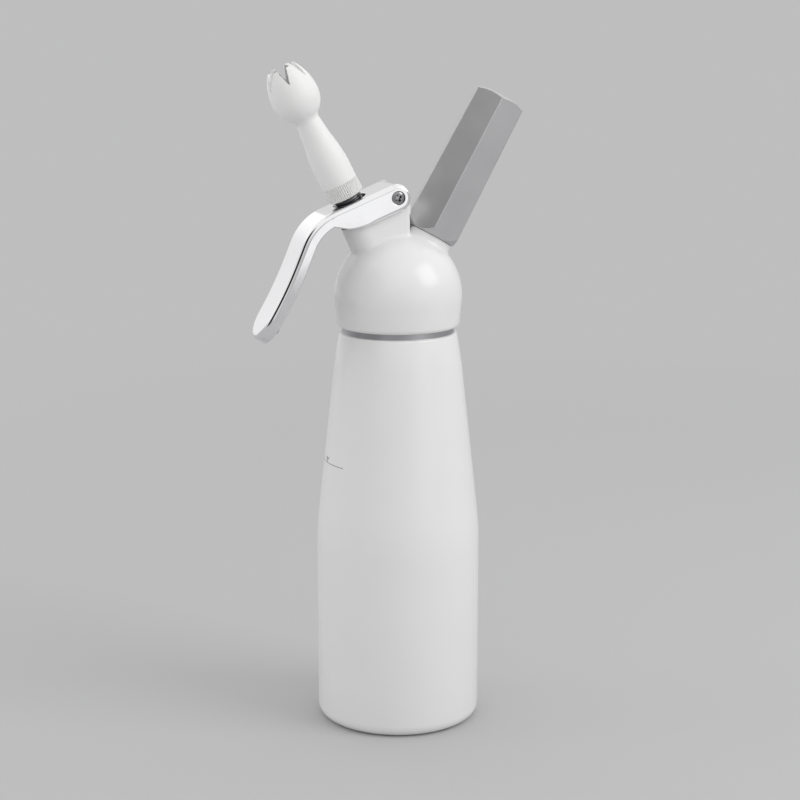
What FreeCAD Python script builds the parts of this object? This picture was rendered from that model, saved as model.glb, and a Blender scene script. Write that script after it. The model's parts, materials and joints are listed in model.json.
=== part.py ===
import FreeCAD, Part
import math
import os
import re
import Sketcher

# Whipped cream dispenser of about half a litre. The flask stands on z = 0 with its axis on Z. The lever and
# the nozzle are on the -X side, the charger holder on the +X side, and the XZ plane cuts the whole mechanism
# in half. Lengths are millimetres and angles degrees.
#
# Four frames are used. "flask" is the frame of the part itself. "valve" has its origin on the flask's axis
# and its Z along the leaning valve and nozzle. "port" is the same for the charger. "lever" has its origin on
# the lever's hinge, its X along the flat top of the lever (the grip is at negative X) and Z off its face.

SIZES = {
    # flask
    "flask_radius": 38.5,
    "flask_wall": 1.6,
    "base_thickness": 2.4,
    "base_round": 5.5,
    "cone_start": 93.7,
    "cone_blend": 170.0,
    "cone_top_radius": 28.65,
    "shoulder_height": 187.0,
    "shoulder_round": 2.5,
    "shoulder_slope_depth": 6.0,
    "ring_radius": 26.2,
    "ring_height": 4.2,
    "neck_radius": 23.8,
    "neck_bore": 21.8,
    "neck_height": 16.2,
    "neck_thread_depth": 0.9,
    "neck_thread_pitch": 3.5,
    "neck_thread_turns": 2.2,
    # head
    "head_radius": 29.9,
    "head_centre": 17.3,
    "head_gap": 2.7,
    "head_skirt_draft": 5.9,
    "head_rim_round": 2.2,
    "head_cavity_radius": 18.0,
    "head_cavity_rise": 1.8,
    "head_blend": 3.0,
    "thread_clearance": 0.4,
    "gasket_thickness": 2.0,
    "gasket_inner_radius": 19.2,
    # valve frame and the stalk round the valve
    "valve_tilt": 27.6,
    "valve_cross": 16.3,
    "stalk_radius": 9.0,
    "stalk_rise": 41.1,
    "stalk_draft": 3.6,
    "stalk_rear": 3.2,
    "stalk_corner_round": 2.0,
    "seat_rise": 22.5,
    "seat_relief": 7.4,
    "stem_radius": 3.4,
    "stem_bore": 2.1,
    "stem_top": 51.8,
    "stem_foot_radius": 5.8,
    "stem_foot_thickness": 2.3,
    "stem_port_radius": 1.1,
    "stem_port_rise": 24.5,
    "running_clearance": 0.06,
    "seal_thickness": 2.2,
    "seal_radius": 6.3,
    "guide_floor": 27.0,
    "guide_radius": 5.45,
    "guide_length": 3.9,
    "guide_flange": 1.0,
    "stem_seal_section": 0.9,
    "chamber_floor": 33.0,
    "chamber_radius": 7.2,
    "spring_radius": 5.6,
    "spring_wire": 0.6,
    "spring_pitch": 2.2,
    # adapter on the stem, and nozzle
    "adapter_rise": 44.7,
    "adapter_flange": 1.8,
    "adapter_flange_radius": 9.4,
    "adapter_radius": 6.1,
    "adapter_bore": 2.6,
    "adapter_length": 19.3,
    "adapter_thread_depth": 0.5,
    "adapter_thread_pitch": 1.75,
    "adapter_gasket_thickness": 1.0,
    "nozzle_rise": 54.0,
    "nozzle_radius": 8.42,
    "nozzle_wall": 1.3,
    "nozzle_collar": 7.2,
    "nozzle_mid_depth": 35.7,
    "nozzle_mid_radius": 6.65,
    "nozzle_waist_depth": 26.6,
    "nozzle_waist_radius": 5.55,
    "nozzle_waist_round": 3.2,
    "tulip_depth": 14.2,
    "tulip_radius": 11.15,
    "tulip_lower_round": 13.5,
    "tulip_upper_round": 24.5,
    "nozzle_length": 65.0,
    "tooth_notch_depth": 6.6,
    "tooth_notch_width": 4.4,
    "tooth_turn": 19.2,
    # lever
    "pivot_offset": 18.7,
    "pivot_rise": 43.4,
    "lever_slope": 22.0,
    "lever_width": 24.0,
    "lever_sheet": 2.0,
    "lever_edge_round": 2.5,
    "lever_inner_round": 0.5,
    "lever_top": 6.2,
    "lever_wall_depth": 6.2,
    "lever_plate_length": 30.5,
    "lever_bend": 26.0,
    "lever_bend_angle": 45.7,
    "grip_straight": 7.7,
    "grip_curve": 190.0,
    "grip_curve_angle": 8.5,
    "lever_hole_clearance": 1.4,
    "lever_roll_angle": 45.0,
    "lever_slot": 1.4,
    "ear_straight": 13.0,
    "ear_curve_length": 14.0,
    "ear_curve": 40.5,
    "press_pad_radius": 1.6,
    "press_pad_side_gap": 0.4,
    "press_pad_clearance": 0.03,
    "lug_radius": 3.9,
    "lug_clearance": 0.3,
    "screw_head_radius": 3.1,
    "screw_head_thickness": 2.2,
    "screw_radius": 2.0,
    "screw_length": 6.5,
    "cross_length": 3.6,
    "cross_width": 0.9,
    "cross_depth": 1.2,
    # charger port, holder and charger
    "port_tilt": 29.2,
    "port_cross": 18.2,
    "boss_radius": 11.7,
    "boss_rise": 30.4,
    "boss_draft": 4.0,
    "port_floor": 21.0,
    "port_shank_radius": 6.5,
    "port_radius": 9.7,
    "port_length": 11.6,
    "port_thread_depth": 0.5,
    "port_thread_pitch": 1.75,
    "port_gasket_floor": 33.2,
    "port_gasket_thickness": 1.8,
    "pin_radius": 1.15,
    "pin_shank_radius": 2.0,
    "pin_shank_length": 3.7,
    "pin_bore": 0.4,
    "pin_point": 2.2,
    "filter_radius": 3.0,
    "filter_thickness": 1.6,
    "filter_rise": 27.0,
    "gas_passage": 1.0,
    "check_valve_radius": 5.0,
    "check_valve_thickness": 1.4,
    "charger_radius": 9.15,
    "charger_neck": 4.4,
    "charger_neck_length": 6.0,
    "charger_shoulder": 9.0,
    "charger_length": 65.5,
    "charger_wall": 1.8,
    "charger_mouth": 2.2,
    "cap_thickness": 0.5,
    "cap_hole": 1.5,
    "holder_gap": 0.25,
    "holder_flats": 25.6,
    "holder_draft": 0.91,
    "holder_length": 72.4,
    "holder_turn": 14.6,
    "holder_bore_clearance": 0.45,
    "holder_edge_round": 0.6,
    "holder_lower_chamfer": 3.4,
    "holder_top_chamfer": 1.3,
}

doc = FreeCAD.newDocument("whipped_cream_dispenser")
sheet = doc.addObject("Spreadsheet::Sheet", "Sizes")
for row, (alias, number) in enumerate(SIZES.items(), start=1):
    sheet.set("A%d" % row, alias)
    sheet.set("B%d" % row, str(number))
    sheet.setAlias("B%d" % row, alias)
doc.recompute()


# ---------------------------------------------------------------- helpers

def bound(text):
    """The expression with each size's name pointed at its cell in the sheet."""
    def cell(word):
        return "Sizes." + word[0] if word[0] in SIZES else word[0]

    return re.sub(r"[a-z][a-z_]+", cell, str(text))


def value(text):
    """What an expression of sizes comes to now."""
    return float(sheet.evalExpression(bound(text)))


def bind(item, prop, text):
    item.setExpression(prop, bound(text))


# Both leaning axes cross the flask's axis at heights measured from its shoulder.
VALVE_CROSS = "(shoulder_height + valve_cross)"
PORT_CROSS = "(shoulder_height + port_cross)"


def valve_x(across, along):
    """X, in the part's frame, of a point of the valve frame's XZ plane."""
    return "((%s)*cos(valve_tilt) - (%s)*sin(valve_tilt))" % (across, along)


def valve_z(across, along):
    return "(%s + (%s)*sin(valve_tilt) + (%s)*cos(valve_tilt))" % (VALVE_CROSS, across, along)


PIVOT_X = valve_x("pivot_offset", "pivot_rise")
PIVOT_Z = valve_z("pivot_offset", "pivot_rise")

# name: (axis it leans about, angle, x and z of its origin)
FRAMES = {
    "flask": (FreeCAD.Vector(0, 1, 0), "0", "0", "0"),
    "valve": (FreeCAD.Vector(0, -1, 0), "valve_tilt", "0", VALVE_CROSS),
    "port": (FreeCAD.Vector(0, 1, 0), "port_tilt", "0", PORT_CROSS),
    "lever": (FreeCAD.Vector(0, -1, 0), "lever_slope", PIVOT_X, PIVOT_Z),
}


def place(item, frame):
    """Sets an object in one of the four frames and keeps it there by expression."""
    axis, angle, x, z = FRAMES[frame]
    origin = FreeCAD.Vector(value(x), 0, value(z))
    item.Placement = FreeCAD.Placement(origin, FreeCAD.Rotation(axis, value(angle)))
    if frame == "flask":
        return
    bind(item, "Placement.Rotation.Angle", angle)
    bind(item, "Placement.Base.x", x)
    bind(item, "Placement.Base.z", z)


def new_body(label, frame):
    body = doc.addObject("PartDesign::Body", label)
    body.Label = label
    place(body, frame)
    return body


def origin_plane(body, role):
    return [item for item in body.Origin.OriginFeatures if item.Role == role][0]


def turned_plane(body, turn):
    """A datum plane: the body's XZ plane turned about its Z."""
    plane = body.newObject("PartDesign::Plane", "TurnedPlane")
    plane.AttachmentSupport = [(origin_plane(body, "XZ_Plane"), "")]
    plane.MapMode = "FlatFace"
    about = FreeCAD.Rotation(FreeCAD.Vector(0, 1, 0), value(turn))
    plane.AttachmentOffset = FreeCAD.Placement(FreeCAD.Vector(), about)
    bind(plane, "AttachmentOffset.Rotation.Angle", turn)
    return plane


def new_sketch(body, plane, shift=("0", "0", "0"), turn="0"):
    """A sketch on an origin plane, named by its role, or on a datum plane, shifted and turned in it."""
    sketch = body.newObject("Sketcher::SketchObject", "Sketch")
    support = origin_plane(body, plane) if isinstance(plane, str) else plane
    sketch.AttachmentSupport = [(support, "")]
    sketch.MapMode = "FlatFace"
    offset = FreeCAD.Vector(*[value(part) for part in shift])
    about = FreeCAD.Rotation(FreeCAD.Vector(0, 0, 1), value(turn))
    sketch.AttachmentOffset = FreeCAD.Placement(offset, about)
    for letter, part in zip("xyz", shift):
        if part != "0":
            bind(sketch, "AttachmentOffset.Base." + letter, part)
    if turn != "0":
        bind(sketch, "AttachmentOffset.Rotation.Angle", turn)
    return sketch


def fix_point(sketch, item, end, corner):
    """Holds one point of a sketch at an (across, up) pair of expressions, measured from the origin."""
    for kind, text in zip(("DistanceX", "DistanceY"), corner):
        index = sketch.addConstraint(Sketcher.Constraint(kind, -1, 1, item, end, value(text)))
        bind(sketch, "Constraints[%d]" % index, text)


def arc_between(first, last, radius):
    """The shorter arc between two points: it turns left for a positive radius, right for a negative one."""
    half = (last - first) * 0.5
    reach = math.sqrt(max(radius * radius - half.Length ** 2, 0.0))
    side = FreeCAD.Vector(-half.y, half.x, 0).normalize() * math.copysign(reach, radius)
    centre = first + half + side
    ends = (first, last) if radius > 0 else (last, first)
    angles = [math.atan2(point.y - centre.y, point.x - centre.x) for point in ends]
    return Part.ArcOfCircle(Part.Circle(centre, FreeCAD.Vector(0, 0, 1), abs(radius)), *angles)


def draw(sketch, corners, arcs=None, closed=True):
    """Lines and arcs through the corners. arcs gives the signed radius of a side by the side's number."""
    arcs = arcs or {}
    points = [FreeCAD.Vector(value(x), value(y), 0) for x, y in corners]
    count = len(corners) if closed else len(corners) - 1
    heads = []
    for side in range(count):
        first = points[side]
        last = points[(side + 1) % len(points)]
        if side in arcs:
            radius = value(arcs[side])
            sketch.addGeometry(arc_between(first, last, radius), False)
            heads.append((1, 2) if radius > 0 else (2, 1))
            index = sketch.addConstraint(Sketcher.Constraint("Radius", side, abs(radius)))
            bind(sketch, "Constraints[%d]" % index, "abs(%s)" % arcs[side])
        else:
            sketch.addGeometry(Part.LineSegment(first, last), False)
            heads.append((1, 2))
    for side in range(count):
        fix_point(sketch, side, heads[side][0], corners[side])
        if side > 0:
            joint = Sketcher.Constraint("Coincident", side - 1, heads[side - 1][1], side, heads[side][0])
            sketch.addConstraint(joint)
    if closed:
        sketch.addConstraint(Sketcher.Constraint("Coincident", count - 1, heads[-1][1], 0, heads[0][0]))
    else:
        fix_point(sketch, count - 1, heads[-1][1], corners[-1])


def draw_circle(sketch, centre, radius):
    middle = FreeCAD.Vector(value(centre[0]), value(centre[1]), 0)
    sketch.addGeometry(Part.Circle(middle, FreeCAD.Vector(0, 0, 1), value(radius)), False)
    fix_point(sketch, 0, 3, centre)
    index = sketch.addConstraint(Sketcher.Constraint("Radius", 0, value(radius)))
    bind(sketch, "Constraints[%d]" % index, radius)


def spin(body, corners, arcs=None, kind="Revolution"):
    """Turns an outline, drawn as (radius, height) corners, about the frame's Z."""
    sketch = new_sketch(body, "XZ_Plane")
    draw(sketch, corners, arcs)
    feature = body.newObject("PartDesign::" + kind, kind)
    feature.Profile = (sketch, [""])
    feature.ReferenceAxis = (sketch, ["V_Axis"])
    feature.Angle = 360
    return feature


def turned(label, frame, corners, arcs=None):
    body = new_body(label, frame)
    spin(body, corners, arcs)
    return body


def ring_corners(inner, outer, low, high):
    return [(inner, low), (outer, low), (outer, high), (inner, high)]


def slab(body, sketch, width, kind="Pad"):
    """Pads or pockets a sketch of the XZ plane by half the width to each side."""
    feature = body.newObject("PartDesign::" + kind, kind)
    feature.Profile = (sketch, [""])
    feature.Midplane = True
    feature.Length = value(width)
    bind(feature, "Length", width)
    return feature


def thread(body, root, depth, pitch, low, high):
    """A helical ridge on a shaft: its foot is sunk in the root so that it joins the shaft all along."""
    sink = "0.2"
    sketch = new_sketch(body, "XZ_Plane")
    half = "(%s)*0.3" % pitch
    tip = "(%s)*0.1" % pitch
    inner = "%s - %s" % (root, sink)
    outer = "%s + %s" % (root, depth)
    centre = "(%s) + (%s)" % (low, half)
    draw(sketch, [
        (inner, "%s - %s" % (centre, half)),
        (outer, "%s - %s" % (centre, tip)),
        (outer, "%s + %s" % (centre, tip)),
        (inner, "%s + %s" % (centre, half)),
    ])
    feature = body.newObject("PartDesign::AdditiveHelix", "Thread")
    feature.Profile = (sketch, [""])
    feature.ReferenceAxis = (sketch, ["V_Axis"])
    bind(feature, "Pitch", pitch)
    bind(feature, "Height", "(%s) - (%s) - 2*(%s)" % (high, low, half))
    return feature


def circles_at(shape, radius, height):
    """Names of the round edges about Z of a body's own shape that have this radius and height."""
    found = []
    for number, edge in enumerate(shape.Edges, start=1):
        if edge.Degenerated or not isinstance(edge.Curve, Part.Circle):
            continue
        curve = edge.Curve
        if abs(curve.Radius - radius) > 0.01:
            continue
        if math.hypot(curve.Center.x, curve.Center.y) < 0.01 and abs(curve.Center.z - height) < 0.01:
            found.append("Edge%d" % number)
    return found


def round_edges(body, feature, names, radius):
    fillet = body.newObject("PartDesign::Fillet", "Fillet")
    fillet.Base = (feature, names)
    fillet.Radius = value(radius)
    bind(fillet, "Radius", radius)
    doc.recompute()
    return fillet


# ---------------------------------------------------------------- flask

RING_TOP = "(shoulder_height + ring_height)"
NECK_TOP = "(shoulder_height + neck_height)"
NECK_CREST = "(neck_radius + neck_thread_depth)"
CONE_SLOPE = "((flask_radius - cone_top_radius)/(shoulder_height - cone_start))"
THREAD_LOW = "(%s + 1)" % RING_TOP


CONE_ANGLE = "atan(%s)" % CONE_SLOPE
CONE_REACH = "(cone_blend*tan(%s/2))" % CONE_ANGLE


def cone_blend_ends(radius):
    """Where the long curve between a wall of this radius and the cone starts and ends."""
    inward = "%s*sin(%s)" % (CONE_REACH, CONE_ANGLE)
    upward = "%s*cos(%s)" % (CONE_REACH, CONE_ANGLE)
    return [(radius, "cone_start - %s" % CONE_REACH),
            ("%s - %s" % (radius, inward), "cone_start + %s" % upward)]


def make_flask():
    """One drawn shell: straight wall, cone, shoulder, a bare ring below the head and a threaded neck."""
    body = new_body("bottle", "flask")
    inner = "(flask_radius - flask_wall)"
    inner_round = "(base_round - flask_wall)"
    slope_z = "(shoulder_height - shoulder_slope_depth)"
    slope_r = "(cone_top_radius + shoulder_slope_depth*%s - flask_wall)" % CONE_SLOPE
    shell = spin(body, [
        ("0", "0"),
        ("flask_radius - base_round", "0"),
        ("flask_radius", "base_round"),
        *cone_blend_ends("flask_radius"),
        ("cone_top_radius", "shoulder_height"),
        ("ring_radius", "shoulder_height"),
        ("ring_radius", RING_TOP),
        ("neck_radius", RING_TOP),
        ("neck_radius", NECK_TOP),
        ("neck_bore", NECK_TOP),
        ("neck_bore", "shoulder_height - flask_wall"),
        (slope_r, slope_z),
        *reversed(cone_blend_ends(inner)),
        (inner, "base_thickness + %s" % inner_round),
        ("%s - %s" % (inner, inner_round), "base_thickness"),
        ("0", "base_thickness"),
    ], {1: "base_round", 3: "cone_blend", 13: "-cone_blend", 15: "-%s" % inner_round})
    doc.recompute()
    corner = circles_at(shell.Shape, value("cone_top_radius"), value("shoulder_height"))
    shoulder = round_edges(body, shell, corner, "shoulder_round")
    lips = circles_at(shoulder.Shape, value("neck_radius"), value(NECK_TOP))
    lips += circles_at(shoulder.Shape, value("neck_bore"), value(NECK_TOP))
    lips += circles_at(shoulder.Shape, value("ring_radius"), value(RING_TOP))
    round_edges(body, shoulder, lips, "(neck_radius - neck_bore)/4")
    thread(body, "neck_radius", "neck_thread_depth", "neck_thread_pitch", THREAD_LOW,
           "%s + neck_thread_pitch*(neck_thread_turns + 0.6)" % THREAD_LOW)
    return body


# ---------------------------------------------------------------- head

HEAD_LOW = "(shoulder_height + head_gap)"
HEAD_CENTRE = "(shoulder_height + head_centre)"
HEAD_BORE = "(%s + thread_clearance)" % NECK_CREST
CEILING = "(%s + gasket_thickness)" % NECK_TOP
CAVITY_CENTRE = "(%s + head_cavity_rise)" % CEILING
LUG_HALF = "(lever_width/2 - lever_sheet - lug_clearance)"
BOSS_FOOT = "(boss_radius + (boss_rise - port_floor)*tan(boss_draft))"


def make_dome():
    """The ball of the head with its slightly tapered skirt and rounded rim."""
    body = new_body("head_dome", "flask")
    tangent_r = "(head_radius*cos(head_skirt_draft))"
    tangent_z = "(%s - head_radius*sin(head_skirt_draft))" % HEAD_CENTRE
    rim = "(%s - (%s - %s)*tan(head_skirt_draft))" % (tangent_r, tangent_z, HEAD_LOW)
    dome = spin(body, [
        ("0", HEAD_LOW),
        (rim, HEAD_LOW),
        (tangent_r, tangent_z),
        ("0", "%s + head_radius" % HEAD_CENTRE),
    ], {2: "head_radius"})
    doc.recompute()
    round_edges(body, dome, circles_at(dome.Shape, value(rim), value(HEAD_LOW)), "head_rim_round")
    return body


REAR_AT = "((stalk_rear + (%s)*sin(valve_tilt))/cos(valve_tilt))"


def make_stalk():
    """The drafted stalk: round in front of the valve, flat-sided behind it and upright at the rear."""
    body = new_body("head_stalk", "valve")
    sketch = new_sketch(body, "XY_Plane", ("0", "0", "stalk_rise"))
    draw(sketch, [
        ("0", "stalk_radius"),
        ("-stalk_radius", "0"),
        ("0", "-stalk_radius"),
        ("pivot_offset + 8", "-stalk_radius"),
        ("pivot_offset + 8", "stalk_radius"),
    ], {0: "stalk_radius", 1: "stalk_radius"})
    pad = body.newObject("PartDesign::Pad", "Pad")
    pad.Profile = (sketch, [""])
    pad.Reversed = True
    bind(pad, "Length", "stalk_rise - seat_rise")
    bind(pad, "TaperAngle", "stalk_draft")
    rear = new_sketch(body, "XZ_Plane")
    low = "(seat_rise - 5)"
    high = "(stalk_rise + 5)"
    draw(rear, [
        (REAR_AT % low, low),
        ("pivot_offset + 20", low),
        ("pivot_offset + 20", high),
        (REAR_AT % high, high),
    ])
    cut = slab(body, rear, "6*stalk_radius", "Pocket")
    doc.recompute()
    corners = []
    for number, edge in enumerate(cut.Shape.Edges, start=1):
        ends = [vertex.Point for vertex in edge.Vertexes]
        if len(ends) < 2 or abs(ends[0].z - ends[1].z) < 5 or min(abs(end.y) for end in ends) < 1:
            continue
        if all(abs(end.x - value(REAR_AT % end.z)) < 0.01 for end in ends):
            corners.append("Edge%d" % number)
    round_edges(body, cut, corners, "stalk_corner_round")
    return body


def make_lug():
    """The block that stands up between the lever's ears, with the cylinder that the screws go into."""
    body = new_body("head_lug", "flask")
    sketch = new_sketch(body, "XZ_Plane")
    front = "(pivot_offset - 1.6*lug_radius)"
    sunk = "(stalk_rise - 3)"
    draw(sketch, [
        (valve_x(front, "stalk_rise"), valve_z(front, "stalk_rise")),
        (valve_x(front, sunk), valve_z(front, sunk)),
        ("stalk_rear", valve_z(front, sunk)),
        ("stalk_rear", "%s - lug_radius" % PIVOT_Z),
        ("%s + lug_radius" % PIVOT_X, PIVOT_Z),
        ("%s - lug_radius" % PIVOT_X, PIVOT_Z),
    ])
    slab(body, sketch, "2*stalk_radius")
    lug = new_sketch(body, "XZ_Plane")
    draw_circle(lug, (PIVOT_X, PIVOT_Z), "lug_radius")
    slab(body, lug, "2*%s" % LUG_HALF)
    return body


def make_boss():
    return turned("head_boss", "port", [
        ("0", "port_floor"), (BOSS_FOOT, "port_floor"), ("boss_radius", "boss_rise"), ("0", "boss_rise")])


def make_bore():
    """What is cut from under the head: counterbore over the ring, threaded bore and domed hollow."""
    counterbore = "(ring_radius + thread_clearance)"
    return turned("head_bore", "flask", [
        ("0", "%s - 5" % HEAD_LOW),
        (counterbore, "%s - 5" % HEAD_LOW),
        (counterbore, "%s + thread_clearance" % RING_TOP),
        (HEAD_BORE, "%s + thread_clearance" % RING_TOP),
        (HEAD_BORE, CEILING),
        ("head_cavity_radius", CEILING),
        ("head_cavity_radius", CAVITY_CENTRE),
        ("0", "%s + head_cavity_radius" % CAVITY_CENTRE),
    ], {6: "head_cavity_radius"})


GUIDE_POCKET = "(guide_radius + running_clearance)"


def make_valve_bore():
    """The stepped bore of the valve: seat relief, port chamber, guide pocket and spring chamber."""
    below = "(seat_rise - seat_relief)"
    above = "(stalk_rise + 4)"
    chamber = "(stem_radius + 0.5)"
    return turned("head_valve_bore", "valve", [
        ("0", below),
        ("seat_relief", below),
        ("seat_relief", "seat_rise"),
        (chamber, "seat_rise"),
        (chamber, "guide_floor"),
        (GUIDE_POCKET, "guide_floor"),
        (GUIDE_POCKET, "chamber_floor"),
        ("chamber_radius", "chamber_floor"),
        ("chamber_radius", above),
        ("0", above),
    ])


def make_port_bore():
    below = "(port_floor - check_valve_radius)"
    relief = "(port_shank_radius + 1.5)"
    fit = "(port_shank_radius + running_clearance)"
    return turned("head_port_bore", "port", [
        ("0", below), (relief, below), (relief, "port_floor"), (fit, "port_floor"),
        (fit, "boss_rise + 4"), ("0", "boss_rise + 4")])


def make_screw_bore():
    """The cross hole of the lug that both pivot screws are driven into."""
    body = new_body("head_screw_bore", "flask")
    sketch = new_sketch(body, "XZ_Plane")
    draw_circle(sketch, (PIVOT_X, PIVOT_Z), "screw_radius + running_clearance")
    slab(body, sketch, "lever_width")
    return body


def foot_edges(shape):
    """Numbers of the edges at which the stalk or the boss leaves the ball: they lie on the ball's sphere."""
    centre = FreeCAD.Vector(0, 0, value(HEAD_CENTRE))
    found = []
    for number, edge in enumerate(shape.Edges, start=1):
        if edge.Degenerated:
            continue
        middle = edge.valueAt((edge.FirstParameter + edge.LastParameter) / 2)
        on_ball = abs((middle - centre).Length - value("head_radius")) < 0.01
        if on_ball and middle.z > centre.z + 1 and len(shape.ancestorsOfType(edge, Part.Face)) == 2:
            kinds = {type(face.Surface).__name__ for face in shape.ancestorsOfType(edge, Part.Face)}
            if kinds != {"Sphere"}:
                found.append(number)
    return found


def grown(name, dome, pieces):
    """The ball with something standing on it, blended at the foot."""
    joined = doc.addObject("Part::MultiFuse", name)
    joined.Shapes = [dome] + pieces
    joined.Refine = True
    doc.recompute()
    blended = doc.addObject("Part::Fillet", name + "_blended")
    blended.Base = joined
    radius = value("head_blend")
    blended.Edges = [(number, radius, radius) for number in foot_edges(joined.Shape)]
    return blended


def make_head():
    """One casting: ball, stalk, lug and boss joined and blended, then bored from below and from outside."""
    dome = make_dome()
    solid = doc.addObject("Part::MultiFuse", "head_solid")
    solid.Shapes = [grown("head_with_stalk", dome, [make_stalk(), make_lug()]),
                    grown("head_with_boss", dome, [make_boss()])]
    solid.Refine = True
    bores = doc.addObject("Part::MultiFuse", "head_bores")
    bores.Shapes = [make_bore(), make_valve_bore(), make_port_bore(), make_screw_bore()]
    head = doc.addObject("Part::Cut", "head")
    head.Label = "head"
    head.Base = solid
    head.Tool = bores
    doc.recompute()
    return head


def make_head_gasket():
    return turned("head_gasket", "flask", ring_corners(
        "gasket_inner_radius", "%s - thread_clearance" % HEAD_BORE, NECK_TOP, CEILING))


# ---------------------------------------------------------------- valve

STEM_FIT = "(stem_radius + running_clearance)"
SEAL_LOW = "(seat_rise - seal_thickness)"
FOOT_LOW = "(%s - stem_foot_thickness)" % SEAL_LOW
FLANGE_TOP = "(adapter_rise + adapter_flange)"
ADAPTER_TOP = "(adapter_rise + adapter_length)"
THREAD_CREST = "(adapter_radius + adapter_thread_depth)"


def make_valve_stem():
    """The hollow stem: a foot that carries the seal, a blind bore and cross ports above the seal."""
    body = new_body("valve_stem", "valve")
    bevel = "(stem_foot_radius/8)"
    spin(body, [
        ("0", FOOT_LOW),
        ("stem_foot_radius - %s" % bevel, FOOT_LOW),
        ("stem_foot_radius", "%s + %s" % (FOOT_LOW, bevel)),
        ("stem_foot_radius", SEAL_LOW),
        ("stem_radius", SEAL_LOW),
        ("stem_radius", "stem_top"),
        ("stem_bore", "stem_top"),
        ("stem_bore", "stem_port_rise - 2*stem_port_radius"),
        ("0", "stem_port_rise - 2*stem_port_radius"),
    ])
    for plane in ("XZ_Plane", "YZ_Plane"):
        sketch = new_sketch(body, plane)
        draw_circle(sketch, ("0", "stem_port_rise"), "stem_port_radius")
        slab(body, sketch, "4*stem_radius", "Pocket")
    return body


def make_valve_seal():
    return turned("valve_seal", "valve", ring_corners(STEM_FIT, "seal_radius", SEAL_LOW, "seat_rise"))


def make_stem_seal():
    """The O-ring that lies in the guide's pocket round the stem."""
    body = new_body("stem_seal", "valve")
    sketch = new_sketch(body, "XZ_Plane")
    centre = ("%s + stem_seal_section" % STEM_FIT, "guide_floor + stem_seal_section")
    draw_circle(sketch, centre, "stem_seal_section")
    ring = body.newObject("PartDesign::Revolution", "Revolution")
    ring.Profile = (sketch, [""])
    ring.ReferenceAxis = (sketch, ["V_Axis"])
    ring.Angle = 360
    return body


GUIDE_TOP = "(chamber_floor + guide_flange)"


def make_valve_guide():
    """The bush that guides the stem and carries the spring on its flange."""
    flange = "(chamber_radius - 0.3)"
    return turned("valve_guide", "valve", [
        (STEM_FIT, "chamber_floor - guide_length"),
        ("guide_radius", "chamber_floor - guide_length"),
        ("guide_radius", "chamber_floor"),
        (flange, "chamber_floor"),
        (flange, GUIDE_TOP),
        (STEM_FIT, GUIDE_TOP),
    ])


def make_valve_spring():
    """An open coil between the guide's flange and the underside of the adapter."""
    body = new_body("valve_spring", "valve")
    sketch = new_sketch(body, "XZ_Plane")
    draw_circle(sketch, ("spring_radius", "%s + spring_wire" % GUIDE_TOP), "spring_wire")
    coil = body.newObject("PartDesign::AdditiveHelix", "Coil")
    coil.Profile = (sketch, [""])
    coil.ReferenceAxis = (sketch, ["V_Axis"])
    bind(coil, "Pitch", "spring_pitch")
    bind(coil, "Height", "adapter_rise - %s - 2*spring_wire" % GUIDE_TOP)
    return body


def make_nozzle_adapter():
    """The turned adapter: the lever presses its flange and the nozzle screws on its thread."""
    body = new_body("nozzle_adapter", "valve")
    bevel = "(adapter_flange/4)"
    top_bevel = "(adapter_thread_depth + 0.3)"
    spin(body, [
        (STEM_FIT, "adapter_rise"),
        ("adapter_flange_radius - %s" % bevel, "adapter_rise"),
        ("adapter_flange_radius", "adapter_rise + %s" % bevel),
        ("adapter_flange_radius", "%s - %s" % (FLANGE_TOP, bevel)),
        ("adapter_flange_radius - %s" % bevel, FLANGE_TOP),
        ("adapter_radius", FLANGE_TOP),
        ("adapter_radius", "%s - %s" % (ADAPTER_TOP, top_bevel)),
        ("adapter_radius - %s" % top_bevel, ADAPTER_TOP),
        ("adapter_bore", ADAPTER_TOP),
        ("adapter_bore", "stem_top + 0.2"),
        (STEM_FIT, "stem_top + 0.2"),
    ])
    thread(body, "adapter_radius", "adapter_thread_depth", "adapter_thread_pitch", "%s + 1.5" % FLANGE_TOP,
           "%s - 1.5" % ADAPTER_TOP)
    return body


def make_adapter_gasket():
    return turned("adapter_gasket", "valve", ring_corners(
        "adapter_bore + 0.4", "adapter_radius - adapter_thread_depth", ADAPTER_TOP,
        "%s + adapter_gasket_thickness" % ADAPTER_TOP))


NOZZLE_SEAT = "(%s + adapter_gasket_thickness)" % ADAPTER_TOP


def nozzle_up(rise):
    return "(nozzle_rise + %s)" % rise


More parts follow.
